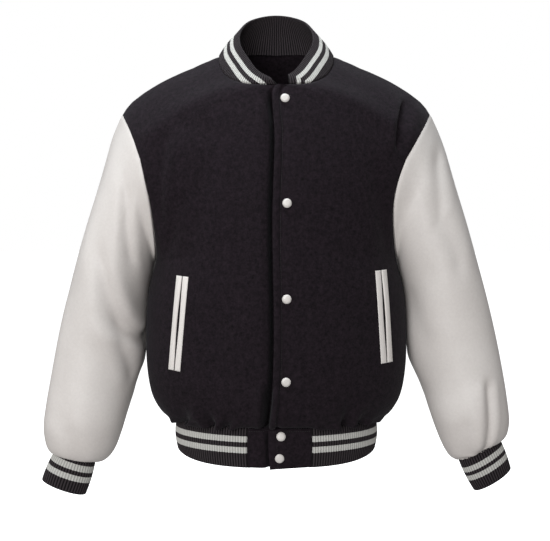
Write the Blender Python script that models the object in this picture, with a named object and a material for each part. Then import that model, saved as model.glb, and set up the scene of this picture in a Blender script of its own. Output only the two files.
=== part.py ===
"""Varsity jacket, filled out as if worn: wool body, leather sleeves, rib-knit collar, cuffs and band.

Axes: +X to the wearer's left, -Y to the front, +Z up.  The origin is on the neck and shoulder line,
where the wearer's shoulders hold the jacket.  Metres.

Every cloth piece is a wall.  Its outer side is a sheet of points; its inner side is the same sheet
moved in by the cloth's thickness; rims close the two.  Pieces that are sewn together share the
points of their seam, and each is drawn back from it by half the seam gap.
"""
import math

import bpy
import numpy as np
from mathutils import Matrix, Vector
from mathutils.bvhtree import BVHTree

# ---------------------------------------------------------------- driving dimensions
WOOL = 0.0020               # thickness of the melton wool
LEATHER = 0.0018            # thickness of the sleeve leather
RIB = 0.0026                # thickness of the rib knit between its ribs
SEAM_GAP = 0.0003           # between two pieces at a seam
RIB_PITCH = 0.0054          # from one rib to the next
RIB_HEIGHT = 0.0009         # how far a rib stands out
LAP_CLEAR = 0.0008          # between the two fronts where one lies over the other
UNDER_MARGIN = 0.004        # how far the sunk part of the under front shows beyond the lap
HEM_SINK = (0, 1, 0.7)      # which way the under front sinks at the hem, where the cloth turns
UNDERLAP_DROP = 0.006       # how far the under front's hidden upper corner is cut down
UNDERLAP = 0.026            # how far the under front reaches past the middle
TAB_END = 1 / 3             # part of a front's hem width that its plain tab takes
BAND_FRONT = 0.060          # height of the waistband at the front, and at the sides and back
BAND_SIDE = 0.050
BAND_BULGE = 0.003
BAND_DRAW_IN = 0.010        # part by which the band is narrower at its lower edge
SNAP_RADIUS = 0.0073
SNAP_HEIGHT = 0.0030
WELT_WIDTH = 0.0095         # one of the two welt strips of a pocket
WELT_SLIT = 0.0016          # gap between the two strips
WELT_THICK = 0.0016
WELT_STATIONS = 13
WELT_LIFT = 0.0007          # of a welt off its front, and of a snap off its cloth
SNAP_LIFT = 0.0005
CUFF_BELLY = 0.0016         # how far a cuff swells between its ends
FOLD_FADE = 1.6             # a fold fades out past its ends over this many of its widths
FOLD_TURN = 1.5             # how much more a fold pulls front to back than side to side
BAND_TURN = 1.4             # the same for the way in which the waistband swells
COLLAR_FOOT = 0.25          # share of the collar's height that its first stretch takes
CUFF_FOOT = 0.4             # and of a cuff's length
WELT_EDGE = 0.72            # a welt's thickness at its two edges, as part of that between
SNAP_PROFILE = ((1.0, 0.0), (1.0, 0.30), (0.90, 0.62), (0.62, 0.88), (0.28, 1.0))  # radius, height
SNAP_SIDES = 16


def table(columns, *rows):
    """A table with named columns, as one array for each name."""
    return dict(zip(columns.split(), np.array(rows, float).T))


# ---------------------------------------------------------------- the body's sections
# One row for each section from the hem (0) through the underarm (7) to the shoulder seam (16).
# mid_*: the section's inner end, on the middle line and then on the neckline.
# end_*: its outer end, on the side seam and then on the armhole.
# turn: how much of a quarter turn the section makes; fall: the power by which it drops outwards.
FRONT = table(
    "mid_x   mid_y    mid_z    end_x    end_y    end_z    turn   fall",
    (0.000, -0.119, -0.606,   0.1680,  0.004,  -0.606,   1.00,  2.0),
    (0.000, -0.130, -0.600,   0.1850,  0.004,  -0.602,   1.00,  2.0),
    (0.000, -0.138, -0.584,   0.1985,  0.004,  -0.590,   1.00,  2.0),
    (0.000, -0.143, -0.556,   0.2105,  0.004,  -0.563,   1.00,  2.0),
    (0.000, -0.146, -0.512,   0.2165,  0.003,  -0.517,   1.00,  2.0),
    (0.000, -0.148, -0.452,   0.2185,  0.002,  -0.456,   1.00,  2.0),
    (0.000, -0.149, -0.388,   0.2155,  0.001,  -0.398,   1.00,  2.0),
    (0.000, -0.148, -0.326,   0.2050,  0.000,  -0.345,   0.98,  2.0),
    (0.000, -0.146, -0.276,   0.2000, -0.038,  -0.322,   0.86,  2.0),
    (0.000, -0.142, -0.222,   0.1980, -0.064,  -0.285,   0.76,  2.0),
    (0.000, -0.135, -0.167,   0.1995, -0.078,  -0.245,   0.70,  2.0),
    (0.000, -0.124, -0.110,   0.2060, -0.082,  -0.208,   0.66,  2.0),
    (0.000, -0.110, -0.057,   0.2150, -0.078,  -0.175,   0.64,  1.9),
    (0.050, -0.097, -0.053,   0.2280, -0.068,  -0.149,   0.62,  1.6),
    (0.080, -0.066, -0.038,   0.2405, -0.052,  -0.128,   0.58,  1.45),
    (0.094, -0.032, -0.016,   0.2520, -0.030,  -0.110,   0.55,  1.47),
    (0.098,  0.004,  0.005,   0.2620,  0.000,  -0.094,   0.50,  1.5))
BACK = table(
    "mid_x   mid_y    mid_z    end_x    end_y    end_z    turn   fall",
    (0.000,  0.123, -0.606,   0.1680,  0.004,  -0.606,   1.00,  2.0),
    (0.000,  0.134, -0.600,   0.1850,  0.004,  -0.602,   1.00,  2.0),
    (0.000,  0.141, -0.583,   0.1985,  0.004,  -0.590,   1.00,  2.0),
    (0.000,  0.144, -0.555,   0.2105,  0.004,  -0.563,   1.00,  2.0),
    (0.000,  0.145, -0.510,   0.2165,  0.003,  -0.517,   1.00,  2.0),
    (0.000,  0.145, -0.448,   0.2185,  0.002,  -0.456,   1.00,  2.0),
    (0.000,  0.146, -0.382,   0.2155,  0.001,  -0.398,   1.00,  2.0),
    (0.000,  0.148, -0.320,   0.2050,  0.000,  -0.345,   0.98,  2.0),
    (0.000,  0.149, -0.266,   0.2040,  0.036,  -0.322,   0.86,  2.0),
    (0.000,  0.147, -0.208,   0.2060,  0.060,  -0.285,   0.76,  2.0),
    (0.000,  0.141, -0.150,   0.2100,  0.074,  -0.245,   0.70,  2.0),
    (0.000,  0.128, -0.093,   0.2170,  0.078,  -0.208,   0.66,  2.0),
    (0.000,  0.104, -0.034,   0.2260,  0.075,  -0.175,   0.62,  2.0),
    (0.000,  0.068,  0.022,   0.2360,  0.066,  -0.148,   0.60,  1.8),
    (0.038,  0.062,  0.022,   0.2460,  0.051,  -0.126,   0.57,  1.55),
    (0.074,  0.042,  0.016,   0.2550,  0.029,  -0.109,   0.54,  1.47),
    (0.098,  0.004,  0.005,   0.2620,  0.000,  -0.094,   0.50,  1.5))
ARMHOLE_LEAN = 0.008        # how far both front armholes are pulled to the wearer's right
LEAN_SECTIONS = 8           # and over how many sections from the underarm up
UNDERARM = 7                # section where the side seam becomes the armhole
FRONT_NECK = 12             # section where the middle line becomes the neckline
BACK_NECK = 13
SHOULDER = 16
SECTIONS = np.array([0, 0.5, 1, 1.5, 2, 2.5, 3, 3.7, 4.5, 5.3, 6.2, 7, 7.8, 8.6, 9.4, 10.3,
                     11.2, 12, 12.5, 13, 13.8, 14.6, 15.3, 16])
ACROSS = np.array([0, 0.11, 0.22, TAB_END, 0.45, 0.56, 0.66, 0.75, 0.83, 0.90, 0.955, 0.988, 1.0])

# The over front's edge, by height.
LAP_EDGE = table(
    "z        x",
    (-0.680, -0.0100),
    (-0.606, -0.0125),
    (-0.560, -0.0075),
    (-0.480, -0.0040),
    (-0.270, -0.0060),
    (-0.130, -0.0030),
    (-0.080, -0.0065),
    (-0.066, -0.0055),
    (-0.057, -0.0010))

# ---------------------------------------------------------------- the sleeves' sections
# out_* and in_*: the section's outer and inner ends; half: its half depth, front to back.
SLEEVE_LEFT = table(
    "out_x    out_z    in_x     in_z    half    mid_y",
    (0.2620, -0.094,  0.2050, -0.345,  0.080,  0.000),
    (0.2770, -0.128,  0.2145, -0.350,  0.082, -0.001),
    (0.2900, -0.166,  0.2190, -0.362,  0.083, -0.003),
    (0.3050, -0.2200, 0.2205, -0.3815, 0.082, -0.005),
    (0.3220, -0.2800, 0.2205, -0.4095, 0.080, -0.007),
    (0.3385, -0.3415, 0.2205, -0.4370, 0.077, -0.010),
    (0.3545, -0.4040, 0.2220, -0.4725, 0.073, -0.013),
    (0.3685, -0.4685, 0.2290, -0.5130, 0.069, -0.017),
    (0.3795, -0.5290, 0.2460, -0.5550, 0.065, -0.021),
    (0.3860, -0.5740, 0.2565, -0.5900, 0.062, -0.024),
    (0.3890, -0.6055, 0.2660, -0.6190, 0.058, -0.026),
    (0.3855, -0.6285, 0.2785, -0.6495, 0.051, -0.028),
    (0.3790, -0.6400, 0.2905, -0.6675, 0.041, -0.029),
    (0.3700, -0.6420, 0.3055, -0.6730, 0.029, -0.030))
SLEEVE_RIGHT = table(
    "out_x    out_z    in_x     in_z    half    mid_y",
    (0.2620, -0.094,  0.2050, -0.345,  0.080,  0.000),
    (0.2770, -0.130,  0.2145, -0.350,  0.082, -0.001),
    (0.2890, -0.170,  0.2190, -0.362,  0.083, -0.003),
    (0.3040, -0.2220, 0.2205, -0.3815, 0.082, -0.005),
    (0.3210, -0.2800, 0.2205, -0.4095, 0.080, -0.007),
    (0.3380, -0.3415, 0.2205, -0.4390, 0.077, -0.010),
    (0.3535, -0.4070, 0.2210, -0.4765, 0.073, -0.012),
    (0.3670, -0.4735, 0.2250, -0.5130, 0.069, -0.014),
    (0.3785, -0.5380, 0.2380, -0.5535, 0.065, -0.016),
    (0.3860, -0.5820, 0.2495, -0.5920, 0.062, -0.018),
    (0.3900, -0.6165, 0.2600, -0.6280, 0.058, -0.020),
    (0.3870, -0.6440, 0.2715, -0.6575, 0.051, -0.021),
    (0.3805, -0.6585, 0.2865, -0.6745, 0.041, -0.022),
    (0.3720, -0.6620, 0.3045, -0.6780, 0.029, -0.022))
SLEEVE_ROWS = 26
SETTLE = 0.34               # part of the sleeve over which the armhole's shape fades out

# The cuffs' open ends, as a sleeve section each: wearer's left, then right.
CUFF_LEFT_END = dict(out_x=0.3900, out_z=-0.6870, in_x=0.3310, in_z=-0.7180, half=0.026, mid_y=-0.034)
CUFF_RIGHT_END = dict(out_x=0.3885, out_z=-0.7060, in_x=0.3215, in_z=-0.7220, half=0.026, mid_y=-0.026)

# ---------------------------------------------------------------- the collar's upper edge
# From the middle of the back (0) round one side to the front (1), by share of the neck seam.
RIM = table(
    "share  x       y       z",
    (0.00,  0.0000,  0.0560,  0.0860),
    (0.14,  0.0270,  0.0500,  0.0820),
    (0.28,  0.0490,  0.0310,  0.0700),
    (0.42,  0.0610,  0.0020,  0.0480),
    (0.56,  0.0600, -0.0300,  0.0210),
    (0.72,  0.0450, -0.0620, -0.0080),
    (0.86,  0.0290, -0.0880, -0.0320),
    (1.00,  0.0080, -0.1040, -0.0465))
COLLAR_LAP_END = 0.020      # x where the collar's left half ends, clear of the lap
COLLAR_BULGE = 0.0030       # how far the collar swells between the seam and its upper edge

# ---------------------------------------------------------------- the largest folds
# Soft troughs along a line seen from the front or the back; depth is negative for a ridge.
# side: +1 wearer's left, -1 right; face: -1 front, +1 back.
BODY_FOLDS = table(
    "side face  x0      z0      x1      z1      width   depth",
    (+1, -1,  0.214,  -0.090,  0.205,  -0.158,  0.015,  0.006),
    (-1, -1,  0.180,  -0.155,  0.190,  -0.280,  0.016,  0.004),
    (-1, -1,  0.155,  -0.250,  0.172,  -0.300,  0.016,  0.003),
    (+1, +1,  0.195,  -0.140,  0.188,  -0.275,  0.017,  0.004),
    (-1, +1,  0.198,  -0.130,  0.186,  -0.260,  0.017,  0.005),
    (+1, +1,  0.120,  -0.545,  0.060,  -0.575,  0.018,  0.004),
    (-1, +1,  0.150,  -0.520,  0.090,  -0.565,  0.018,  0.003))
SLEEVE_FOLDS = table(
    "side face  x0      z0      x1      z1      width   depth",
    (-1, -1,  0.300,  -0.370,  0.268,  -0.450,  0.015,  0.006),
    (-1, -1,  0.268,  -0.450,  0.230,  -0.478,  0.014,  0.007),
    (-1, -1,  0.262,  -0.245,  0.250,  -0.320,  0.015,  0.005),
    (-1, -1,  0.262,  -0.500,  0.247,  -0.530,  0.014,  0.004),
    (+1, -1,  0.356,  -0.530,  0.358,  -0.600,  0.012,  0.006),
    (+1, -1,  0.278,  -0.180,  0.288,  -0.290,  0.016,  0.004),
    (+1, -1,  0.288,  -0.290,  0.312,  -0.340,  0.016,  0.004),
    (+1, +1,  0.250,  -0.430,  0.310,  -0.480,  0.016,  0.006),
    (+1, +1,  0.260,  -0.520,  0.330,  -0.545,  0.016,  0.004),
    (-1, +1,  0.245,  -0.450,  0.305,  -0.465,  0.016,  0.006),
    (-1, +1,  0.262,  -0.540,  0.320,  -0.520,  0.016,  0.004))

# ---------------------------------------------------------------- pockets and snaps
# The slit of each pocket on the surface, from its upper to its lower end.
POCKETS = table(
    "side  x0      z0      x1      z1",
    (-1,   0.150,  -0.364,  0.1640, -0.516),
    (+1,   0.1690, -0.355,  0.1790, -0.505))
SNAPS = table(
    "x        z",
    (0.0140, -0.080),
    (0.0168, -0.248),
    (0.0163, -0.398),
    (0.0153, -0.528),
    (0.0085, -0.616),
    (0.0070, -0.650))

WOOL_FINISH = ((0.017, 0.013, 0.016), 0.92, 0.0)
LEATHER_FINISH = ((0.66, 0.62, 0.59), 0.48, 0.0)
RIB_FINISH = ((0.016, 0.013, 0.015), 0.88, 0.0)
SNAP_FINISH = ((0.74, 0.71, 0.67), 0.35, 0.0)


# ---------------------------------------------------------------- curves and tables
def smooth(knots, values, at, corners=()):
    """A smooth curve through the table's values: a cubic between knots, with the mean of the two
    slopes at each knot, and its own slope on each side of a corner."""
    knots = np.asarray(knots, float)
    values = np.asarray(values, float)
    slopes = np.diff(values) / np.diff(knots)
    before = np.concatenate([slopes[:1], slopes])
    after = np.concatenate([slopes, slopes[-1:]])
    mean = (before + after) / 2
    is_corner = np.isin(knots, corners)
    start = np.where(is_corner, after, mean)[:-1]
    end = np.where(is_corner, before, mean)[1:]
    at = np.asarray(at, float)
    i = np.clip(np.searchsorted(knots, at, side="right") - 1, 0, len(knots) - 2)
    span = knots[i + 1] - knots[i]
    s = (at - knots[i]) / span
    return ((2 * s**3 - 3 * s**2 + 1) * values[i] + (s**3 - 2 * s**2 + s) * span * start[i]
            + (3 * s**2 - 2 * s**3) * values[i + 1] + (s**3 - s**2) * span * end[i])


def smoothstep(low, high, value):
    """0 below low, 1 above high, and an even S between them."""
    s = np.clip((value - low) / (high - low), 0, 1)
    return s * s * (3 - 2 * s)


def unit(vectors):
    """The same directions, one long."""
    return vectors / np.maximum(np.linalg.norm(vectors, axis=-1, keepdims=True), 1e-12)


def fold_depth(points, folds, side):
    """How deep each point of one side lies in the folds that cross it."""
    depth = np.zeros(points.shape[:-1])
    x = points[..., 0] * side
    for row in zip(*folds.values()):
        fold_side, face, x0, z0, x1, z1, width, deep = row
        if fold_side != side:
            continue
        along = np.array([x1 - x0, z1 - z0])
        length = np.linalg.norm(along)
        along /= length
        run = (x - x0) * along[0] + (points[..., 2] - z0) * along[1]
        off = (x - x0) * along[1] - (points[..., 2] - z0) * along[0]
        beyond = np.maximum(np.maximum(-run, run - length), 0)
        facing = smoothstep(0, 0.025, points[..., 1] * face)
        depth += deep * facing * np.exp(-(off / width)**2 - (beyond / (FOLD_FADE * width))**2)
    return depth


# ---------------------------------------------------------------- sheets and walls
def triangles(quad):
    """The two triangles of a quad, always cut along the same diagonal."""
    a, b, c, d = (int(k) for k in quad)
    return [(a, b, c), (a, c, d)]


def grid_faces(rows, columns, wrap=False):
    """The triangles of a grid of points, facing the way row x column turns."""
    faces = []
    for i in range(rows - 1):
        for j in range(columns if wrap else columns - 1):
            k = (j + 1) % columns
            faces += triangles((i * columns + j, i * columns + k,
                                (i + 1) * columns + k, (i + 1) * columns + j))
    return faces


def normals_of(points, faces):
    """The mean normal of the faces round each point, by their size."""
    corners = np.array(faces)
    a, b, c = (points[corners[:, k]] for k in range(3))
    normal = np.cross(b - a, c - a)
    total = np.zeros_like(points)
    for k in range(3):
        np.add.at(total, corners[:, k], normal)
    return unit(total)


def border_edges(faces):
    """The edges that belong to one face only, in the direction of that face."""
    edges = {}
    for face in faces:
        for k, start in enumerate(face):
            edges[(start, face[(k + 1) % len(face)])] = True
    return [(a, b) for a, b in edges if (b, a) not in edges]


class Sheet:
    """The outer side of one cloth piece: its points, its faces and where it is sewn."""

    def __init__(self, points, faces):
        self.points = np.array(points, float)
        self.faces = faces
        self.normals = normals_of(self.points, faces)
        self.inward = self.normals.copy()
        self.shift = np.zeros_like(self.points)

    def into(self, indices, neighbours):
        """From border points, the way into the sheet."""
        return unit(self.points[neighbours] - self.points[indices])


def sew(first, second, first_ids, second_ids, first_next, second_next):
    """Draws two sheets back from the seam points that they share, by half the gap each."""
    apart = unit(first.into(first_ids, first_next) - second.into(second_ids, second_next))
    first.shift[first_ids] += apart * SEAM_GAP / 2
    second.shift[second_ids] -= apart * SEAM_GAP / 2


def share_inward(panels, across):
    """Gives all points that meet in one place the same inward direction, their mean normal.

    Where two panels and a piece sewn across them meet, that piece counts as much as both panels.
    """
    sheets = [*panels, *across]
    places = {}
    for sheet in sheets:
        for edge in border_edges(sheet.faces):
            key = tuple(np.round(sheet.points[edge[0]], 6))
            places.setdefault(key, set()).add((sheet, edge[0]))
    for members in places.values():
        double = len(members) > 2
        mean = unit(sum(sheet.normals[index] * (2 if double and sheet in across else 1)
                        for sheet, index in members))
        for sheet, index in members:
            sheet.inward[index] = mean


def material(name, finish):
    """A plain Principled material, made once."""
    if name in bpy.data.materials:
        return bpy.data.materials[name]
    colour, roughness, metallic = finish
    made = bpy.data.materials.new(name)
    made.use_nodes = True
    shader = made.node_tree.nodes["Principled BSDF"]
    shader.inputs["Base Color"].default_value = (*colour, 1)
    shader.inputs["Roughness"].default_value = roughness
    shader.inputs["Metallic"].default_value = metallic
    return made


def add_object(name, points, faces, finish_name, finish, sharp=35):
    """One named object with its own mesh."""
    mesh = bpy.data.meshes.new(name)
    mesh.from_pydata([tuple(p) for p in points], [], faces)
    mesh.validate()
    mesh.shade_smooth()
    mesh.set_sharp_from_angle(angle=math.radians(sharp))
    thing = bpy.data.objects.new(name, mesh)
    thing.data.materials.append(material(finish_name, finish))
    bpy.context.scene.collection.objects.link(thing)
    return thing


def add_wall(name, sheet, thickness, finish_name, finish):
    """The closed wall of a sheet: outer side, inner side and the rims between them."""
    outer = sheet.points + sheet.shift
    inner = outer - sheet.inward * thickness
    count = len(outer)
    faces = list(sheet.faces)
    faces += [tuple(count + k for k in reversed(face)) for face in sheet.faces]
    for a, b in border_edges(sheet.faces):
        if tuple(sheet.points[a]) < tuple(sheet.points[b]):
            faces += [(b, a, count + b), (a, count + a, count + b)]
        else:
            faces += [(b, a, count + a), (b, count + a, count + b)]
    return add_object(name, np.vstack([outer, inner]), faces, finish_name, finish)


# ---------------------------------------------------------------- the body's fronts and back
def section_point(sections, corners, t, share):
    """A point of the body's form: at section t, at a share of the way out from its inner end.

    Across, the section runs straight out; its depth follows a part of an ellipse, and its height
    falls with a power of the share.
    """
    knots = np.arange(len(sections["turn"]))
    value = {name: smooth(knots, column, t, corners) for name, column in sections.items()}
    angle_end = value["turn"] * math.pi / 2
    part = np.clip(np.abs(share), 0, 1)
    angle = np.arcsin(np.clip(part * np.sin(angle_end), 0, 1))
    depth = (1 - np.cos(angle)) / (1 - np.cos(angle_end))
    x = value["mid_x"] + (value["end_x"] - value["mid_x"]) * share
    y = value["mid_y"] + (value["end_y"] - value["mid_y"]) * depth
    z = value["mid_z"] + (value["end_z"] - value["mid_z"]) * part**value["fall"]
    return np.stack([x, y, z], axis=-1)


def fold_in(points, folds, side, keep=None):
    """Moves points towards the body's middle line by their folds; kept points stay."""
    depth = fold_depth(points, folds, side)
    if keep is not None:
        depth = np.where(keep, 0, depth)
    towards = unit(np.stack([-points[..., 0], -points[..., 1] * FOLD_TURN, np.zeros_like(depth)], axis=-1))
    return points + towards * depth[..., None]


class Body:
    """The three body panels and the places of their seam points."""

    def __init__(self):
        self.rows = len(SECTIONS)
        self.columns = len(ACROSS)
        self.underarm = int(np.flatnonzero(SECTIONS == UNDERARM)[0])
        self.front_neck = int(np.flatnonzero(SECTIONS == FRONT_NECK)[0])
        self.back_neck = int(np.flatnonzero(SECTIONS == BACK_NECK)[0])
        self.front_left = self.front(+1)
        self.front_right = self.front(-1)
        self.back = self.back_panel()

    def half_grid(self, sections, neck, side):
        """Half of the body's front or back as a grid of points, section by section."""
        t, share = np.meshgrid(SECTIONS, ACROSS, indexing="ij")
        grid = section_point(sections, (UNDERARM, neck), t, share)
        grid[..., 0] *= side
        if sections is FRONT:
            bend = np.sin(math.pi * np.clip((t - UNDERARM) / LEAN_SECTIONS, 0, 1))**2
            grid[..., 0] -= ARMHOLE_LEAN * bend * share**2
        seam = np.zeros(t.shape, bool)
        seam[:, -1] = True
        seam[-1] = True
        seam[0] = True
        seam[self.front_neck:, 0] = True
        return fold_in(grid, BODY_FOLDS, side, keep=seam)

    def front(self, side):
        """One front.  Column 0 is its free edge; column 1 is the middle line, then the neckline."""
        grid = self.half_grid(FRONT, FRONT_NECK, side)
        width = smooth(np.arange(SHOULDER + 1), FRONT["end_x"], SECTIONS, (UNDERARM,))
        height = section_point(FRONT, (UNDERARM, FRONT_NECK), SECTIONS, np.zeros(self.rows))[:, 2]
        lap = smooth(LAP_EDGE["z"], LAP_EDGE["x"], height)
        if side > 0:
            edge = self.front_line(lap / width)
        else:
            edge = self.front_line(UNDERLAP / width)
            below = slice(0, self.front_neck + 1)
            grid[below, 0] = self.front_line((lap - UNDER_MARGIN) / width)[below]
            out = normals_of(grid.reshape(-1, 3), grid_faces(*grid.shape[:2])).reshape(grid.shape)
            sink = -out[below, :1] * np.sign(-out[below, :1, 1:2]) * (WOOL + LAP_CLEAR)
            sink[..., 0] = 0
            sink[0] = np.array(HEM_SINK) * (WOOL + LAP_CLEAR)
            grid[below, :2] += sink
            edge[below] += sink[:, 0]
            edge[self.front_neck, 2] -= UNDERLAP_DROP
        points = np.concatenate([edge[:, None], grid], axis=1)
        across = self.columns + 1
        faces = []
        for row in range(self.rows - 1):
            for column in range(self.columns):
                if column == 0 and row >= self.front_neck:
                    continue
                a = row * across + column
                quad = (a, a + 1, a + across + 1, a + across)
                faces += triangles(quad if side > 0 else quad[::-1])
        return drop_unused(points.reshape(-1, 3), faces)

    def front_line(self, share):
        """A line up the front's form at a share of its width, negative on the wearer's right."""
        line = section_point(FRONT, (UNDERARM, FRONT_NECK), SECTIONS, np.abs(share))
        line[:, 0] *= np.sign(share)
        return line

    def back_panel(self):
        """The back, in one piece: two mirrored halves that share the middle line."""
        left = self.half_grid(BACK, BACK_NECK, +1)
        right = self.half_grid(BACK, BACK_NECK, -1)
        points = list(left.reshape(-1, 3))
        self.left_ids = np.arange(self.rows * self.columns).reshape(self.rows, self.columns)
        self.right_ids = np.zeros_like(self.left_ids)
        for i in range(self.rows):
            for j in range(self.columns):
                if j == 0 and i <= self.back_neck:
                    self.right_ids[i, j] = self.left_ids[i, j]
                else:
                    self.right_ids[i, j] = len(points)
                    points.append(right[i, j])
        faces = []
        for ids, flip in ((self.left_ids, True), (self.right_ids, False)):
            for i in range(self.rows - 1):
                for j in range(self.columns - 1):
                    quad = (ids[i, j], ids[i, j + 1], ids[i + 1, j + 1], ids[i + 1, j])
                    faces += triangles(quad[::-1] if flip else quad)
        return Sheet(points, faces)

    def front_ids(self, side):
        """The numbers of a front's points by row and column; column 0 is its free edge."""
        sheet = self.front_left if side > 0 else self.front_right
        return sheet, sheet.lookup.reshape(self.rows, self.columns + 1)

    def back_ids(self, side):
        """The numbers of the back's points on one side, by row and column."""
        return self.back, (self.left_ids if side > 0 else self.right_ids)


def drop_unused(points, faces):
    """A sheet without the points that no face uses; lookup gives each old point its number."""
    used = sorted({index for face in faces for index in face})
    lookup = np.full(len(points), -1)
    lookup[used] = np.arange(len(used))
    sheet = Sheet(points[used], [tuple(int(lookup[k]) for k in face) for face in faces])
    sheet.lookup = lookup
    return sheet


def sew_body(body):
    """The side and shoulder seams of the three panels."""
    for side in (+1, -1):
        front, front_ids = body.front_ids(side)
        back, back_ids = body.back_ids(side)
        rows = slice(0, body.underarm + 1)
        sew(front, back, front_ids[rows, -1], back_ids[rows, -1], front_ids[rows, -2], back_ids[rows, -2])
        sew(front, back, front_ids[-1, 1:], back_ids[-1], front_ids[-2, 1:], back_ids[-2])


# ---------------------------------------------------------------- sleeves
def armhole_ids(body, side):
    """The armhole's points in order: from the shoulder tip down the front, up the back."""
    _, front_ids = body.front_ids(side)
    _, back_ids = body.back_ids(side)
    down = front_ids[body.underarm:, -1][::-1], front_ids[body.underarm:, -2][::-1]
    up = back_ids[body.underarm:, -1][1:-1], back_ids[body.underarm:, -2][1:-1]
    return down, up


def sleeve_rings(section, centre_y, angles):
    """Rings of a tube from sections: an ellipse whose long way joins the inner and outer ends."""
    out = np.stack([section["out_x"], centre_y, section["out_z"]], axis=-1)
    inn = np.stack([section["in_x"], centre_y, section["in_z"]], axis=-1)
    middle = (out + inn) / 2
    half = (out - inn) / 2
    ahead = np.zeros_like(half)
    ahead[..., 1] = -section["half"]
    return (middle[:, None] + half[:, None] * np.cos(angles)[..., None]
            + ahead[:, None] * np.sin(angles)[..., None])


def build_sleeve(body, side):
    """One sleeve: a tube whose first ring is the armhole, and whose sections follow the table."""
    sections = SLEEVE_LEFT if side > 0 else SLEEVE_RIGHT
    (down, down_next), (up, up_next) = armhole_ids(body, side)
    front, _ = body.front_ids(side)
    loop = np.concatenate([front.points[down], body.back.points[up]])
    count = len(loop)
    turns = np.linspace(0, 1, SLEEVE_ROWS)
    knots = np.arange(len(sections["half"]))
    at = turns * knots[-1]
    section = {name: smooth(knots, column, at) for name, column in sections.items()}

    first = np.array([sections["out_x"][0], 0, sections["out_z"][0]])
    last = np.array([sections["in_x"][0], 0, sections["in_z"][0]])
    half = (first - last) / 2
    mirrored = loop * (side, 1, 1)
    reach = np.clip((mirrored - (first + last) / 2) @ half / (half @ half), -1, 1)
    own = np.arccos(reach)
    own[len(down):] = 2 * math.pi - own[len(down):]
    even = np.linspace(0, 2 * math.pi, count, endpoint=False)
    fade = 1 - smoothstep(0, SETTLE, turns)
    angles = own[None] * fade[:, None] + even[None] * (1 - fade[:, None])

    rings = sleeve_rings(section, section["mid_y"], angles)
    rings += (mirrored - rings[0])[None] * fade[:, None, None]
    depth = fold_depth(rings * (side, 1, 1), SLEEVE_FOLDS, side)
    depth *= smoothstep(0, 0.06, turns)[:, None] * smoothstep(0.04, 0.16, 1 - turns)[:, None]
    rings -= unit(rings - rings.mean(axis=1, keepdims=True)) * depth[..., None]
    rings[..., 0] *= side
    faces = grid_faces(SLEEVE_ROWS, count, wrap=True)
    if side < 0:
        faces = [face[::-1] for face in faces]
    sleeve = Sheet(rings.reshape(-1, 3), faces)
    ids = np.arange(SLEEVE_ROWS * count).reshape(SLEEVE_ROWS, count)

    split = len(down)
    sew(sleeve, front, ids[0, :split], down, ids[1, :split], down_next)
    sew(sleeve, body.back, ids[0, split:], up, ids[1, split:], up_next)
    for corner, ring_id in ((body.rows - 1, 0), (body.underarm, split - 1)):
        back_corner = body.back_ids(side)[1][corner, -1]
        body.back.shift[back_corner] -= unit(sleeve.shift[ids[0, ring_id]]) * SEAM_GAP / 2
    sleeve.last_ring = ids[-1]
    sleeve.next_ring = ids[-2]
    return sleeve


# ---------------------------------------------------------------- rib knit
def along_chain(chain, at):
    """Points on the straight lines of a chain, by share of its length."""
    steps = np.concatenate([[0], np.cumsum(np.linalg.norm(np.diff(chain[:, :3], axis=0), axis=1))])
    return np.stack([np.interp(at, steps / steps[-1], chain[:, k]) for k in range(chain.shape[1])], -1)


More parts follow.
